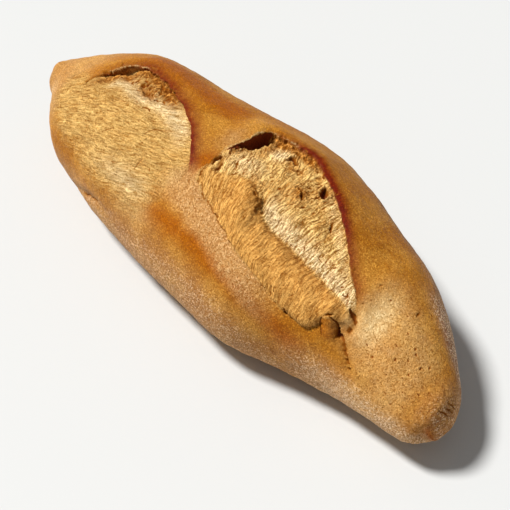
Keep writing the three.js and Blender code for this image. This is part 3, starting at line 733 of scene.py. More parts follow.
class Layout:
    """Zones of the chart, as one number a place for each."""

    SEEDS = (11, 23, 37)

    def __init__(self, x, angle, sizes):
        self.x, self.angle, self.half = x, angle, np.maximum(rib_at(x)[2], 1)
        self.g = angle * self.half
        self.coarse, self.fine, self.torn = (Grain(seed) for seed in self.SEEDS)
        self.drift = self.coarse.on(x, self.g, 14, 10) + 0.5 * self.coarse.on(x, self.g, 5, 4, 3)
        self.place(sizes.raggedness)
        self.set_fibres()
        self.draw_crumb()
        self.draw_lips()
        self.draw_crust()

    def place(self, raggedness):
        """Chart places pushed about near the slashes, so that what is drawn there is torn."""
        x, g = self.x, self.g
        torn = np.maximum(*(between(x, *stretch) for stretch in RAGGED.values()))
        amount = raggedness * (0.6 + 0.4 * torn - 0.5 * spot(x, g, (-7, 8), (5, 16)))
        self.wx, self.wg = x + amount * self.push(0), g + amount * self.push(9)
        self.lips = {lip: nearest(curve, self.wx, self.wg) for lip, curve in LIPS.items()}
        for lip, near in self.lips.items():
            near["wall"] = WALL + (TORN_WALL - WALL) * between(x, *TORN_WALLS[lip])
        self.below = {lip: 1 - crust_share(near) for lip, near in self.lips.items()}

    def push(self, layer):
        wide = self.torn.on(self.x, self.g, 4.2, 4.2, layer)
        return wide + 0.5 * self.torn.on(self.x, self.g, 1.5, 1.5, layer + 5)

    def set_fibres(self):
        """Along and across the crumb's fibres, mm, and a third coordinate that tells the slashes apart."""
        x, g = self.x, self.g
        short = ease((x - FIBRES["turn_from"]) / FIBRES["turn_run"])
        lean = FIBRES["lean"] * (1 - ease((x - FIBRES["lean_from"]) / FIBRES["lean_run"]))
        bend = 1.2 * self.coarse.on(x, g, 8, 6, 41) + 0.3 * self.coarse.on(x, g, 2.6, 2.2, 47)
        self.along = (1 - short) * x + short * g + 0.8 * bend
        self.across = (1 - short) * (g - FIBRES["slant"] * x) + short * (x + lean * g) + bend
        self.fibre = np.stack([self.along, self.across, short * 40], axis=-1)

    def draw_crumb(self):
        x, g = self.x, self.g
        bloom, inside = self.bloom(), self.short_crumb()
        upper = height_on(upper_crease, x)
        band = inside * ease((upper - self.wg + 0.8) / 2.4)
        above = inside * (1 - band) * ease((self.wg - upper) / 1.5)
        # painted shading: darker tone in some patches and lighter in others, lighter over the near end,
        # darker over x 44 to 86 and more so round the short slash's far rim
        painted_shading = patches(PAINTED_SHADING, x, g).sum(axis=0) - 0.8 * between(x, 92, 142, 12)
        painted_shading += 0.4 * between(x, 44, 86, 10) + 0.5 * between(x, 40, 80, 10) * between(g, -11, 27, 6)
        self.zones = {
            "crumb": np.maximum(bloom, inside),
            "bloom": bloom,
            "band": band * (0.75 + 0.25 * ease((x - 4) / 16)),
            "cream": np.maximum(self.long_cream(bloom), above * self.short_cream(g - upper)),
            "torn": self.torn_crumb(g - upper),
            "painted_shading": painted_shading,
            # painted shade in the opening under the short lip
            "under": self.painted_undercut_shade(),
            # painted shade in the gap under the long lip
            "gap": self.gap(),
        }

    def bloom(self):
        """The long slash's crumb, whose lower edge blends into the crust."""
        x, g = self.x, self.g
        below = nearest(bloom_edge, x, g)["signed"] + 7 * self.drift
        window = ease((x + 134) / 16) * ease((-12 - x) / 9) * ease((14 - g) / 2)
        opened = np.maximum(self.below["long"], ease((-110 - x) / 8) * ease((-6 - g) / 8))
        return opened * ease((below + 10) / 18) * window

    def short_crumb(self):
        """The short slash's crumb, without the round dome at the end of the rolled band."""
        x, lower = self.x, height_on(lower_crease, self.x)
        inside = self.below["short"] * ease((self.wg - lower + 1.4) / 3.2)
        inside = inside * ease((self.wx + 12) / 5) * ease((93 - x) / 5)
        away = np.hypot(x - DOME[0], self.g - DOME[1])
        self.dome = 1 - ease((away + 1.5 * self.drift - 3.6) / 1.4)
        return inside * (1 - self.dome)

    def long_cream(self, bloom):
        """Palest crumb of the long slash: the strip below its lip, and a patch low in the bloom."""
        x, g = self.x, self.g
        away = nearest(cream_line, x, g + 1.2 * self.drift)["distance"]
        strip = bell(away, 4.2) * ease((x + 101) / 8) * ease((-24 - x) / 14)
        return bloom * np.maximum(strip, 0.7 * spot(x, g, (-42, -47), (20, 7)))

    def short_cream(self, over_crease):
        """Palest crumb of the short slash: its bowl, its far rim, and two lumps."""
        bowl = bell(over_crease - 4, 6.5) * ease((self.x - 24) / 8)
        rim = bell(-self.lips["short"]["signed"] - 3.2, 2.6) * ease((self.x - 40) / 8)
        return np.maximum.reduce([0.9 * bowl, 0.35 * rim, *patches(CREAM_LUMPS, self.x, self.g)])

    def torn_crumb(self, over_crease):
        """Torn brown strips below the lips, brown floors in the crumb, and torn brown painted as shade along
        the upper crease.
        """
        x, g = self.x, self.g
        # the last share is painted shade along the upper crease
        shares = [*patches(FLOORS, x, g), 0.4 * spot(over_crease, x, (-1.2, 56), (1.7, 34))]
        for lip, (whole, soft, stretch) in TORN.items():
            down = -self.lips[lip]["signed"] - whole
            shares.append(bell(np.clip(down, 0, None), soft) * between(x, *stretch) * self.below[lip])
        return np.clip(np.maximum.reduce(shares), 0, 1)

    def painted_undercut_shade(self):
        """The black opening under the short slash's lip, painted dark as shade."""
        near = self.lips["short"]
        reach = np.interp(near["along"], *UNDERCUT)
        under = (1 - ease((-near["signed"] - reach) / 0.8)) * between(near["along"], 0.05, 0.36, 0.04)
        return under * ease(10 * self.below["short"] - 0.5)

    def gap(self):
        """Painted shade in the gap under the start of the long slash's lip."""
        gap = (1 - ease((-self.lips["long"]["signed"] - 1.6) / 1.2)) * between(self.x, -99, -91, 4)
        return gap * ease(10 * self.below["long"] - 0.5)

    def draw_lips(self):
        """Scorched crust above the lips, rust beyond it, and the thin rims of their edges."""
        x, g = self.x, self.g
        far = 0.45 * between(g, 26, 60, 16) * between(x, -60, 60, 60)
        rims = [
            bell(self.lips[lip]["signed"] - way, RIM_HALF) * between(x, *stretch)
            for lip, (way, stretch) in RIMS.items()
        ]
        self.zones.update(
            scorch=np.maximum(*(self.strip(lip, *SCORCHED[lip]) for lip in LIPS)),
            rust=np.maximum.reduce([*(self.strip(lip, *RUSTED[lip]) for lip in LIPS), far]),
            edge=np.maximum(*rims),
        )

    def strip(self, lip, width, strength):
        """Browned strip on the crust side of a lip, as strong at each x as a curve of points says."""
        signed, along = self.lips[lip]["signed"], self.lips[lip]["along"]
        strip = ease((signed + 0.8) / 0.8) * (1 - ease(signed / width))
        return strip * np.interp(self.x, *zip(*strength)) * ease(along / 0.06)

    def draw_crust(self):
        x, g, drift = self.x, self.g, self.drift
        side = bell(g + 53 + 3 * drift, 6) * ease((x + 28) / 16) * ease((86 - x) / 14)
        shoulder = between(g, 9, 28, 12) * between(x, -97, -23, 14)
        toast = np.maximum.reduce([side, shoulder, 0.5 * self.dome, *patches(TOASTED, x, g)])
        blush = between(g + 0.25 * (x - 20) + 3 * drift, -50, -28, 10) * between(x, -16, 56, 26)
        # the near end painted paler: partly its paler crust, partly painted light where it faces away from
        # the key
        pale_and_lit_end = 0.36 * between(x, 92, 134, 14) * between(g, -34, 8, 16)
        pale = np.maximum.reduce([pale_and_lit_end, fading_in(PALE_KNOB, x, g), *patches(PALE, x, g)])
        far_side = ease((g - 44 + 0.5 * np.clip(x - 56, 0, 44)) / 14) * ease((x - 20) / 40)
        dusk = np.maximum.reduce([0.5 * far_side, *(fading_in(row, x, g) for row in DUSKY)])
        # low on the near side: flour, partly painted sheen of the edges seen at a grazing angle
        low = np.maximum(0.6 * ease((-56 - g) / 26), fading_in(FLOURED_KNOB, x, g))
        low_end = ease((x - 50) / 50) * ease((-60 - np.degrees(self.angle)) / 30)
        flour = np.maximum.reduce([low, low_end, dusk, 0.25 * blush, 0.3 * ease((x - 134) / 6)])
        flour = flour * (1 - spot(x, g, (146, -11), (2, 2.5)))
        grit = np.maximum.reduce([flour, 0.6 * blush, 0.7 * ease((x - 94) / 14)])
        self.zones.update(toast=toast, blush=blush, pale=pale, dusk=dusk, flour=flour, grit=grit)


# ---- Skin: relief and mesh ----


def slash_lift(layout):
    """Both slashes, with the gaps torn below their lips."""
    short = slash_relief(layout.lips["short"], SHORT_SLASH)
    short = short * ease((layout.g - SHORT_FOOT["from"]) / SHORT_FOOT["run"])
    lift = short + slash_relief(layout.lips["long"], LONG_SLASH)
    for tear in TEARS:
        lift = lift + tear_relief(layout.lips[tear["lip"]], tear)
    return lift


def scattered_dashes(seed):
    """Short dashes over the crumb: their paths, half widths, depths and how dark they are."""
    draw = np.random.default_rng(seed)
    for low, high, count, length, width, depth, lean, dark in DASHES:
        for _ in range(count):
            x, g = draw.uniform(low, high)
            turn = math.radians(lean + draw.normal(0, 16))
            reach = length * draw.uniform(0.4, 1.3) / 2
            way = np.array([math.cos(turn), math.sin(turn)]) * reach
            size = draw.uniform(0.6, 1.2)
            yield np.array([[x, g] - way, [x, g] + way]), width * size, depth * size, dark * size


def fine_cells(sizes, stations, angles):
    """Which cells of the skin are split: those with crumb, a lip, an opening or a crack."""
    x, angle = np.meshgrid(stations, angles, indexing="ij")
    layout = Layout(x, angle, sizes)
    chart = Chart(layout.x, layout.g)
    for path, width, depth in CRACKS:
        chart.cut(path, width + FINE_MARGIN, depth)
    for x_pit, g_pit, width in PITS:
        chart.cut(pit_path(x_pit, g_pit, PIT["half_length"] / 2), width + FINE_MARGIN, 0)
    wanted = (layout.zones["crumb"] > CRUMBY) | (chart.recess_shade > MARKED)
    for near in layout.lips.values():
        wanted |= (near["distance"] < LIP_MARGIN) & (near["along"] > 0) & (near["along"] < 1)
    corners = wanted[:-1] | wanted[1:]
    return corners | np.roll(corners, -1, axis=1)


class LoafSkin:
    """The loaf's skin: a closed mesh, with the zones of its finish."""

    def __init__(self, sizes):
        stations, angles = skin_stations(), skin_angles()
        self.sizes = sizes
        self.grid = Grid(stations, angles, fine_cells(sizes, stations, angles))
        self.layout = Layout(self.grid.x, self.grid.angle, sizes)
        self.smooth = crust_point(self.grid.x, self.grid.angle)
        self.calm = ease(self.smooth[..., 2] / SOLE_CLEAR)
        ends = ease((self.grid.x - KNOB_X) / 6) * ease((TIP_X - self.grid.x) / 6)
        self.broad_calm = self.calm * ends
        self.raise_relief()
        self.set_points()

    def raise_relief(self):
        layout, zones = self.layout, self.layout.zones
        x, g = layout.x, layout.g
        lift = slash_lift(layout) + band_relief(layout.wx, layout.wg) + mound_relief(x, g)
        lift = lift + wave_sum(LUMPS, x, g) + zones["crumb"] * wave_sum(CRAGS, x, g)
        chart = Chart(layout.wx, layout.wg)
        chart.lift = lift * self.broad_calm
        self.cut_marks(chart)
        self.lift = chart.lift
        # painted shade inside the marks
        zones["recess_shade"] = np.clip(chart.recess_shade, 0, 1)

    def cut_marks(self, chart):
        layout = self.layout
        for path, width, depth in GROOVES:
            near = nearest(smooth_rows(path, 6), chart.x, chart.g)
            profile = tapered(GROOVE_ENDS, near["along"]) * bell(near["distance"], width)
            chart.lift -= depth * profile * self.broad_calm
            # painted shade along the groove
            chart.recess_shade = np.maximum(chart.recess_shade, GROOVE_DARK * profile)
        least, more = CRACK_DARK
        for path, width, depth in CRACKS:
            chart.cut(path, width, depth, least + more * depth)
        ragged = layout.torn.on(layout.x, layout.g, 2.2, 2.2, 31)
        ragged = ragged + layout.torn.on(layout.x, layout.g, 1.1, 1.1, 33)
        for path, depth, dark in OPENINGS:
            chart.open(path, depth, dark, ragged)
        chart.x, chart.g = layout.x, layout.g
        for path, width, depth, dark in scattered_dashes(self.sizes.seed):
            chart.cut(path, width, depth, dark)
        for x_pit, g_pit, width in PITS:
            path = pit_path(x_pit, g_pit, PIT["half_length"])
            chart.cut(path, width, PIT["depth"] * width, PIT["dark"])

    def set_points(self):
        layout = self.layout
        move_x, move_g = np.zeros(layout.x.shape), np.zeros(layout.x.shape)
        for lip, slash in SLASHES.items():
            dx, dg = slide(layout.lips[lip], slash)
            move_x, move_g = move_x + dx * self.broad_calm, move_g + dg * self.broad_calm
        x = np.clip(layout.x + move_x, KNOB_X, TIP_X)
        angle = (layout.g + move_g) / np.maximum(rib_at(x)[2], 1)
        angle = np.where(layout.half <= 1, layout.angle, angle)
        self.points = crust_point(x, angle) + crust_normal(x, angle) * (self.lift * self.calm)[..., None]
        self.points[..., 2] = np.maximum(self.points[..., 2], 0)

    def fray(self, points, ways):
        """Fine relief, raised along the skin's own ways out, so that walls are torn too."""
        layout, zones = self.layout, self.layout.zones
        along, across = layout.along, layout.across
        steep = ease((0.86 - np.sum(ways * crust_normal(layout.x, layout.angle), axis=-1)) / 0.3)
        stranded = np.maximum(*(between(layout.x, *stretch) for stretch in STRANDS.values()))
        dark = np.maximum.reduce([zones["recess_shade"], zones["under"], zones["gap"]])
        torn = np.maximum(zones["torn"], steep * stranded) * (1 - dark)
        zones["torn"] = torn
        wide = 1 - np.clip(np.abs(layout.torn.at(points / 3.2)) * 5, 0, 1)
        thin = 1 - np.clip(np.abs(layout.torn.at(points / 1.7 + 5.3)) * 4, 0, 1)
        zones["strand"] = np.clip(0.75 * wide + 0.6 * thin, 0, 1)
        ropes = layout.fine.on(along, across, 6, 2.2) + 0.8 * layout.fine.on(along, across, 2.6, 1.2, 7)
        ropes = ropes + 0.3 * layout.fine.at(points / 1.3)
        flakes = terrace(layout.torn.on(along, across, 6, 3.0, 21), 5)
        # painted shade: how low the crumb's ropes lie
        zones["valley_shade"] = np.clip(0.5 - 0.8 * ropes, 0, 1)
        crumb = zones["crumb"] * (1 - 0.72 * zones["bloom"] - 0.5 * zones["band"]) * (1 - torn) * (1 - dark)
        lift = crumb * (self.sizes.fibre_height * ropes + self.sizes.flake_height * flakes)
        lift += torn * self.sizes.strand_height * (zones["strand"] - 0.5 + 0.4 * layout.fine.at(points / 1.3))
        skin = layout.coarse.at(points / 6.5) + 0.6 * layout.fine.at(points / 2.8)
        lift += self.sizes.blister_height * (1 - zones["crumb"]) * skin
        return points + ways * (lift * self.calm)[:, None]

    def mesh(self, name):
        """The skin as a mesh in metres, set in the CAD solid's box."""
        ends = np.stack([crust_point(np.array(x), np.array(0.0)) for x in (KNOB_X, TIP_X)])
        mesh = bpy.data.meshes.new(name)
        mesh.from_pydata(np.vstack([ends, self.points]).tolist(), [], self.grid.faces())
        ways = np.zeros(3 * len(mesh.vertices), np.float32)
        mesh.vertex_normals.foreach_get("vector", ways)
        skin = self.fray(self.points, ways.reshape(-1, 3)[2:])
        skin[:, 2] = np.maximum(skin[:, 2], 0)
        middle = (np.array(LOAF_LOW) + np.array(LOAF_HIGH)) / 2 / MM
        points = np.vstack([ends, skin])
        points[:, :2] += middle[:2] - (skin.min(axis=0) + skin.max(axis=0))[:2] / 2
        mesh.vertices.foreach_set("co", (points * MM).ravel())
        mesh.update()
        for zone, share in self.layout.zones.items():
            values = np.concatenate([share[[0, -1]], share]).astype(np.float32)
            mesh.attributes.new(zone, "FLOAT", "POINT").data.foreach_set("value", values)
        fibre = np.concatenate([self.layout.fibre[[0, -1]], self.layout.fibre]).astype(np.float32)
        mesh.attributes.new("fibre", "FLOAT_VECTOR", "POINT").data.foreach_set("vector", fibre.ravel())
        mesh.shade_smooth()
        return mesh


# ---- Finish ----


def linear(code):
    """Scene-linear colour of a six-digit sRGB code."""
    shares = [int(code[k:k + 2], 16) / 255 for k in (0, 2, 4)]
    return tuple(s / 12.92 if s <= 0.04045 else ((s + 0.055) / 1.055) ** 2.4 for s in shares)


class Shade:
    """A number that a finish works out; arithmetic on it adds Math nodes."""

    def __init__(self, finish, socket):
        self.finish, self.socket = finish, socket

    def math(self, operation, *values, clamp=False):
        sockets = dict(zip(("Value", "Value_001", "Value_002"), values))
        settings = {"operation": operation, "use_clamp": clamp}
        return Shade(self.finish, self.finish.node("ShaderNodeMath", settings, sockets).outputs[0])

    def __add__(self, other):
        return self.math("ADD", self, other)

    __radd__ = __add__

    def __sub__(self, other):
        return self.math("SUBTRACT", self, other)

    def __rsub__(self, other):
        return self.math("SUBTRACT", other, self)

    def __mul__(self, other):
        return self.math("MULTIPLY", self, other)

    __rmul__ = __mul__

    def clamped(self):
        return self.math("ADD", self, 0.0, clamp=True)

    def near(self, middle, reach):
        """0 at the middle and 1 beyond its reach."""
        return self.math("ABSOLUTE", self - middle).rising(0, reach)

    def rising(self, low, high):
        """0 below low and 1 above high, with a soft step between."""
        sockets = {"Value": self, "From Min": low, "From Max": high}
        node = self.finish.node("ShaderNodeMapRange", {"interpolation_type": "SMOOTHSTEP"}, sockets)
        return Shade(self.finish, node.outputs[0])


ZONES = (
    "crumb", "bloom", "band", "cream", "torn", "strand", "valley_shade", "scorch", "rust", "edge",
    "toast", "blush", "pale", "dusk", "flour", "recess_shade", "under", "gap", "painted_shading", "grit",
)

# What a colour is multiplied by, at its darkest and at its lightest
CRUST_TONES = ((0.58, 0.43, 0.2), (1.38, 1.48, 1.66))
CRUMB_TONES = ((0.42, 0.3, 0.15), (1.32, 1.41, 1.62))


class Finish:
    """A material built from nodes."""

    def __init__(self, name):
        self.material = bpy.data.materials.new(name)
        self.material.use_nodes = True
        self.tree = self.material.node_tree
        self.tree.nodes.clear()

    def node(self, kind, settings, sockets):
        """Adds a node: its settings first, then the values or links of its sockets."""
        node = self.tree.nodes.new(kind)
        for name, value in settings.items():
            setattr(node, name, value)
        for name, value in sockets.items():
            socket = next(s for s in node.inputs if s.identifier == name)
            value = value.socket if isinstance(value, Shade) else value
            if isinstance(value, bpy.types.NodeSocket):
                self.tree.links.new(value, socket)
            else:
                socket.default_value = value
        return node

    def zone(self, name):
        node = self.node("ShaderNodeAttribute", {"attribute_name": name}, {})
        return Shade(self, node.outputs["Fac"])

    def noise(self, place, size, detail=2.0, roughness=0.5):
        """Noise with lumps of about `size` in the place's unit, from 0 to 1."""
        sockets = {"Vector": place, "Scale": 1 / size, "Detail": detail, "Roughness": roughness}
        return Shade(self, self.node("ShaderNodeTexNoise", {}, sockets).outputs["Fac"])

    def grains(self, place, size):
        """A grey of its own for each scattered grain about `size` across, from 0 to 1."""
        sockets = {"Vector": place, "Scale": 1 / size}
        node = self.node("ShaderNodeTexVoronoi", {}, sockets)
        return Shade(self, node.outputs["Color"]).rising(0.15, 0.85)

    def paint(self, below, above, share):
        sockets = {"Factor_Float": share, "A_Color": below, "B_Color": above}
        return self.node("ShaderNodeMix", {"data_type": "RGBA"}, sockets).outputs[2]

    def stretched(self, vector, scale):
        sockets = {"Vector": vector, "Vector_001": scale}
        return self.node("ShaderNodeVectorMath", {"operation": "MULTIPLY"}, sockets).outputs[0]

    def toned(self, colour, tones, light):
        """A colour made deeper and warmer where `light` is low, and lighter where it is high."""
        tone = self.paint((*tones[0], 1), (*tones[1], 1), light.clamped())
        return self.stretched(colour, tone)

    def surface(self, colour, roughness, normal, **constants):
        sockets = {"Base Color": colour, "Roughness": roughness, "Normal": normal, **constants}
        shader = self.node("ShaderNodeBsdfPrincipled", {}, sockets)
        self.node("ShaderNodeOutputMaterial", {}, {"Surface": shader.outputs[0]})
        return self.material


class LoafFinish(Finish):
    """Baked crust, torn crumb and flour, laid where the skin's zones say."""

    def __init__(self, colours):
        super().__init__("rye_crust")
        self.colours = colours
        self.zones = {name: self.zone(name) for name in ZONES}
        self.scatter()
        colour = self.with_holes(self.crust_and_crumb())
        sockets = {"Strength": 1.0, "Distance": MM, "Height": self.height()}
        bump = self.node("ShaderNodeBump", {}, sockets).outputs[0]
        rough = 0.5 + 0.4 * self.zones["crumb"] + 0.3 * self.flour
        self.surface(colour, rough.clamped(), bump, **{"Specular IOR Level": 0.07})

    def scatter(self):
        """Lumps and grains that the colours and the bump share."""
        # on the loaf, with sizes in mm
        place = self.node("ShaderNodeTexCoord", {}, {}).outputs["Object"]
        place = self.stretched(place, (1 / MM, 1 / MM, 1 / MM))
        self.broad = self.noise(place, 18, 3)
        self.mottle = self.noise(place, 4, 4, 0.65)
        self.speck = self.noise(place, 1.6, 3, 0.75)
        self.pore = self.noise(place, 1.2, 2, 0.6).rising(0.62, 0.74)
        self.grain = self.grains(place, 0.54)
        self.crystal = self.grains(place, 0.95)
        dust = self.grains(self.stretched(place, (-1, 1, 1)), 0.56)
        self.bright, self.dark = dust.rising(0.8, 0.96), (1 - dust).rising(0.8, 0.96)
        self.flour = (dust + 0.5 * self.zones["flour"] + 0.3 * (self.mottle - 0.5)).rising(1.05, 1.3)
        # along the crumb's fibres: how many lumps there are in a mm along them, and across them
        fibre = self.node("ShaderNodeAttribute", {"attribute_name": "fibre"}, {}).outputs["Vector"]
        self.strand = self.noise(self.stretched(fibre, (0.14, 0.85, 1)), 1, 3, 0.7)
        self.shred = self.noise(self.stretched(fibre, (0.4, 1.6, 1)), 1, 3, 0.75)
        self.vein = self.noise(self.stretched(fibre, (0.09, 0.4, 1)), 1, 2, 0.6)
        self.fleck = self.grains(self.stretched(fibre, (0.3, 2, 1)), 1)
        self.nick = self.grains(self.stretched(fibre, (-0.3, 1.9, 1)), 1).rising(0.74, 0.9)

    def layer(self, below, name, share):
        """A colour with another of the loaf's colours laid over it."""
        return self.paint(below, rgba(getattr(self.colours, name)), share.clamped())

    def crust(self):
        zone, mottle, speck = self.zones, self.mottle, self.speck
        colour = self.layer(rgba(self.colours.crust), "crust_dark", mottle.rising(0.42, 0.7) * 0.5)
        colour = self.layer(colour, "crust_gold", self.broad.rising(0.42, 0.66) * 0.7)
        shares = {
            "pale": 0.35 + 0.8 * mottle,
            "toast": 0.55 + 0.8 * mottle,
            "blush": 0.9 * speck + 0.5 * self.crystal,
            "dusk": 0.5 * speck + self.crystal,
            "rust": 0.2 + 0.9 * mottle,
            "scorch": 0.6 + 0.8 * mottle,
        }
        for name, share in shares.items():
            colour = self.layer(colour, name, zone[name] * share)
        # flour haze: partly flour, partly painted sheen on the near side's grazing edges
        flour_and_sheen_haze = zone["flour"] * (0.36 - 0.2 * zone["dusk"])
        colour = self.layer(colour, "flour", self.flour * (0.32 + 0.5 * zone["dusk"]) + flour_and_sheen_haze)
        colour = self.layer(colour, "rim", zone["edge"] * speck.rising(0.42, 0.6) * 0.8)
        specks = 0.3 * (self.grain - 0.5) + 0.3 * (speck - 0.5) + 0.6 * self.bright - 0.3 * self.dark
        specks = specks * (0.75 + 0.6 * zone["grit"]) - 0.12 * self.pore
        # the crust's tone with painted shading
        return self.toned(colour, CRUST_TONES, 0.49 + specks - 0.14 * zone["painted_shading"])

    def crumb(self):
        zone, strand, shred = self.zones, self.strand, self.shred
        bloom, uncreamed = zone["bloom"], 1 - zone["cream"]
        dark = (1 - 0.5 * bloom) * 0.6
        # Painted shade in the valleys of the crumb's ropes and strands, and painted highlight where its cream
        # is stronger on the strands' crests
        colour = self.layer(rgba(self.colours.crumb), "crumb_valley_shade", zone["valley_shade"].rising(0.45, 1) * dark)
        colour = self.layer(colour, "crumb_valley_shade", (1 - strand).rising(0.5, 0.72) * dark)
        colour = self.layer(colour, "cream", zone["cream"] * (0.3 + 1.2 * strand))
        colour = self.layer(colour, "band", zone["band"] * (0.5 + 0.6 * shred))
        colour = self.layer(colour, "band", bloom * strand.rising(0.52, 0.7) * uncreamed * 0.5)
        hair = (1 - self.vein.near(0.5, 0.02)) * shred.rising(0.4, 0.6)
        colour = self.layer(colour, "torn", hair * (0.3 + 0.45 * bloom) * uncreamed)
        torn = self.layer(rgba(self.colours.torn), "strand", zone["strand"].rising(0.45, 0.95))
        colour = self.paint(colour, torn, (zone["torn"] * (0.55 + 0.9 * self.speck)).clamped())
        colour = self.layer(colour, "torn", self.nick * (0.5 - 0.3 * bloom))
        streak = 0.36 * (self.grain - 0.5) + 0.5 * (self.fleck - 0.5)
        streak = streak + 0.2 * (shred.rising(0.35, 0.65) - 0.5) + 0.3 * (strand.rising(0.36, 0.64) - 0.5)
        streak = streak + 0.24 * (self.bright - self.dark)
        # the crumb's tone with painted shading
        light = 0.55 - 0.17 * bloom - 0.04 * zone["band"] - 0.14 * zone["painted_shading"]
        return self.toned(colour, CRUMB_TONES, light + streak * (1.2 - 0.6 * bloom - 0.5 * zone["band"]))

    def crust_and_crumb(self):
        """The crust and the crumb, with a mottled seam between them."""
        crumb = self.zones["crumb"]
        seam = crumb + crumb * (1 - crumb) * 3 * (self.mottle - 0.5)
        return self.paint(self.crust(), self.crumb(), seam.clamped())

    def with_holes(self, colour):
        zone = self.zones
        # Painted shade in cracks, pits, grooves and openings: browned torn crumb at their edges, dark brown
        # inside
        colour = self.layer(colour, "torn", zone["recess_shade"].rising(0.12, 0.5))
        colour = self.layer(colour, "recess_shade", zone["recess_shade"].rising(0.5, 0.95))
        # the gap under the long lip painted darker brown as shade
        colour = self.layer(colour, "pit", zone["gap"].rising(0.1, 0.25) * (0.48 - 0.6 * self.mottle))
        # the opening under the short lip painted dark brown as shade
        return self.layer(colour, "recess_shade", zone["under"].rising(0.1, 0.25))

    def height(self):
        """Height of the bump, mm: pebbles over the crust and ropes over the crumb."""
        zone = self.zones
        pebbles = 0.3 * self.mottle + 0.55 * self.speck + 0.25 * self.grain + 0.25 * self.bright
        ropes = 0.4 * self.strand + 0.45 * self.shred + 0.6 * self.fleck + 0.4 * self.grain
        ropes = (ropes - 0.9 * self.nick) * (1 - 0.5 * zone["bloom"] - 0.74 * zone["band"])
        return pebbles + zone["crumb"] * (ropes - pebbles)


def plain_finish(name, colour, roughness):
    finish = Finish(name)
    bump = finish.node("ShaderNodeBump", {}, {"Strength": 0.0, "Height": 0.0}).outputs[0]
    return finish.surface(rgba(colour), roughness, bump)


def rgba(colour):
    return (*colour, 1.0)


# ---- Settings ----


def colour_setting(name, description, code):
    return FloatVectorProperty(name=name, description=description, subtype="COLOR", min=0, max=1,
                               default=linear(code))


def relief_setting(name, description, default):
    return FloatProperty(name=name, description=description, default=default, min=0)


class RyeLoafSizes(bpy.types.PropertyGroup):
    """Relief of the loaf's skin, in mm."""

    raggedness: relief_setting("Raggedness", "How far torn edges wander, mm", 1.7)
    fibre_height: relief_setting("Fibres", "Height of the crumb's fibres, mm", 0.4)
    flake_height: relief_setting("Flakes", "Height of the crumb's thin layers, mm", 0.6)
    strand_height: relief_setting("Strands", "Height of torn strands, mm", 0.9)
    blister_height: relief_setting("Blisters", "Height of the crust's blisters, mm", 0.4)
    seed: IntProperty(name="Seed", description="Draw of the scattered dashes", default=7, min=0)


class RyeLoafColours(bpy.types.PropertyGroup):
    """Colours of the crust and the crumb."""

    crust: colour_setting("Crust", "Baked crust", "B4741F")
    crust_dark: colour_setting("Dark crust", "Mottling of the crust", "98590F")
    crust_gold: colour_setting("Golden crust", "Lighter patches of the crust", "CA8F3A")
    toast: colour_setting("Toast", "Deep orange-brown crust", "A55902")
    pale: colour_setting("Pale crust", "Crust that baked least", "E6C287")
    blush: colour_setting("Blush", "Dusty pinkish crust", "C69559")
    dusk: colour_setting("Dusk", "Purple-brown crust", "934F2A")
    rust: colour_setting("Rust", "Orange-brown crust near the lips", "A86A10")
    scorch: colour_setting("Scorch", "Red-brown lips", "731F03")
    rim: colour_setting("Rim", "Thin pale edge of a lip", "DBBB80")
    flour: colour_setting("Flour", "Flour on the crust", "E4C49B")
    crumb: colour_setting("Crumb", "Opened crumb", "F1C473")
    # painted shade in the valleys of the crumb
    crumb_valley_shade: colour_setting("Dark crumb", "Valleys of the crumb", "CD862C")
    cream: colour_setting("Cream", "Palest crumb", "FFE2A8")
    band: colour_setting("Band", "Rolled band of crumb", "E0A14E")
    torn: colour_setting("Torn", "Browned torn crumb", "965712")
    strand: colour_setting("Strand", "Strands in the torn crumb", "E09B46")
    # painted shade on the wall of the gap below the long lip
    pit: colour_setting("Pit", "Wall of the gap below a lip", "74400F")
    # painted shade inside holes and cracks
    recess_shade: colour_setting("Hollow", "Inside of holes and cracks", "7E3817")


class RyeLoafStudio(bpy.types.PropertyGroup):
    """Camera and light."""

    azimuth: FloatProperty(name="Azimuth", description="Way round to the camera", subtype="ANGLE",
                           default=math.radians(47.557))
    elevation: FloatProperty(name="Elevation", description="Camera's angle above the floor", subtype="ANGLE",
                             default=math.radians(48.7))
    distance: FloatProperty(name="Distance", description="Camera to its target", unit="LENGTH", default=0.62)
    lens: FloatProperty(name="Lens", description="Focal length, mm, on a 36 mm sensor", default=90.85)
    target: FloatVectorProperty(name="Target", description="Point that the camera looks at", unit="LENGTH",
                                subtype="XYZ", default=(0.02642, -0.01652, 0.036))
    key_way: FloatVectorProperty(name="Key direction", description="Way towards the key light", subtype="XYZ",
                                 default=(-0.58, -0.29, 1.0))
    key_angle: FloatProperty(name="Key angle", description="How wide the key light looks", subtype="ANGLE",
                             default=math.radians(12))
    key_power: FloatProperty(name="Key power", description="Key light, W on a square metre", default=4.6)
    fill: FloatProperty(name="Fill", description="Brightness of the surroundings", default=0.232)
    floor: colour_setting("Floor", "Pale floor", "CDCECD")


# ---- Operators ----


def show(obj):
    bpy.context.scene.collection.objects.link(obj)
    return obj


class RYELOAF_OT_loaf(bpy.types.Operator):
    """Bakes the loaf: its skin, slashes and crumb, and its finish"""

    bl_idname = "ryeloaf.loaf"
    bl_label = "Loaf"

    def execute(self, context):
        scene = context.scene
        skin = LoafSkin(scene.rye_loaf_sizes)
        loaf = show(bpy.data.objects.new("rye_loaf", skin.mesh("rye_loaf")))
        loaf.data.materials.append(LoafFinish(scene.rye_loaf_colours).material)
        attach(loaf, "root")
        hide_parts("loaf")
        return {"FINISHED"}


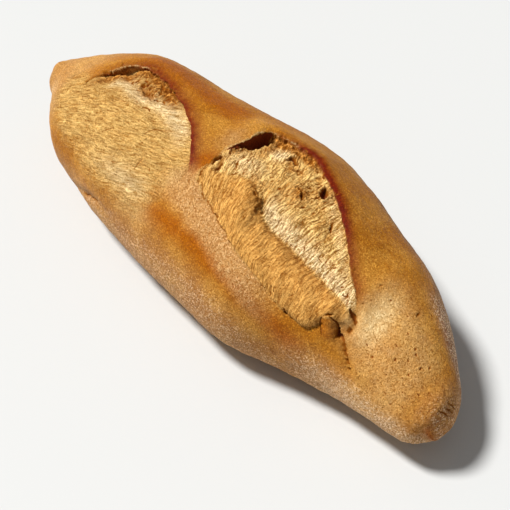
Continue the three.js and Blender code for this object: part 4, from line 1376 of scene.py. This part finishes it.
class RYELOAF_OT_studio(bpy.types.Operator):
    """Sets the floor, the lights and the camera"""

    bl_idname = "ryeloaf.studio"
    bl_label = "Studio"

    FLOOR_SIDE = 6.0

    def execute(self, context):
        scene = context.scene
        studio = scene.rye_loaf_studio
        self.lay_floor(studio)
        self.hang_key(studio)
        self.set_surroundings(scene, studio)
        self.set_camera(scene, studio)
        return {"FINISHED"}

    def lay_floor(self, studio):
        mesh = bpy.data.meshes.new("studio_floor")
        reach = self.FLOOR_SIDE / 2
        corners = [(-reach, -reach, 0), (reach, -reach, 0), (reach, reach, 0), (-reach, reach, 0)]
        mesh.from_pydata(corners, [], [(0, 1, 2, 3)])
        mesh.materials.append(plain_finish("studio_floor", studio.floor, 0.7))
        show(bpy.data.objects.new("studio_floor", mesh))

    def hang_key(self, studio):
        light = bpy.data.lights.new("key", "SUN")
        light.angle = studio.key_angle
        light.energy = studio.key_power
        light.color = (1.0, 0.992, 0.98)
        lamp = show(bpy.data.objects.new("key", light))
        way = Vector(studio.key_way).normalized()
        lamp.location = Vector(studio.target) + way
        lamp.rotation_euler = way.to_track_quat("Z", "Y").to_euler()

    def set_surroundings(self, scene, studio):
        world = bpy.data.worlds.new("surroundings")
        world.use_nodes = True
        background = world.node_tree.nodes["Background"]
        background.inputs["Color"].default_value = (1.0, 1.0, 1.0, 1.0)
        background.inputs["Strength"].default_value = studio.fill
        scene.world = world
        scene.view_settings.view_transform = "Standard"

    def set_camera(self, scene, studio):
        lens = bpy.data.cameras.new("camera")
        lens.lens = studio.lens
        lens.sensor_width = 36.0
        camera = show(bpy.data.objects.new("camera", lens))
        level = math.cos(studio.elevation)
        way = Vector((
            math.sin(studio.azimuth) * level, -math.cos(studio.azimuth) * level, math.sin(studio.elevation),
        ))
        camera.location = Vector(studio.target) + way * studio.distance
        camera.rotation_euler = way.to_track_quat("Z", "Y").to_euler()
        scene.camera = camera


class RYELOAF_PT_panel(bpy.types.Panel):
    """Lists the loaf's pieces and settings"""

    bl_label = "Rye loaf"
    bl_idname = "RYELOAF_PT_panel"
    bl_space_type = "VIEW_3D"
    bl_region_type = "UI"
    bl_category = "Rye loaf"

    def draw(self, context):
        for settings in SETTINGS:
            box = self.layout.box()
            for name in settings.__annotations__:
                box.prop(getattr(context.scene, SETTINGS[settings]), name)
        for operator in OPERATORS:
            self.layout.operator(operator.bl_idname)


SETTINGS = {
    RyeLoafSizes: "rye_loaf_sizes",
    RyeLoafColours: "rye_loaf_colours",
    RyeLoafStudio: "rye_loaf_studio",
}
OPERATORS = (RYELOAF_OT_loaf, RYELOAF_OT_studio)
CLASSES = (*SETTINGS, *OPERATORS, RYELOAF_PT_panel)


def register():
    for item in CLASSES:
        bpy.utils.register_class(item)
    for settings, name in SETTINGS.items():
        setattr(bpy.types.Scene, name, PointerProperty(type=settings))


def unregister():
    for name in SETTINGS.values():
        delattr(bpy.types.Scene, name)
    for item in reversed(CLASSES):
        bpy.utils.unregister_class(item)


def main():
    register()
    bpy.ops.ryeloaf.loaf()
    bpy.ops.ryeloaf.studio()


if __name__ == "__main__":
    main()
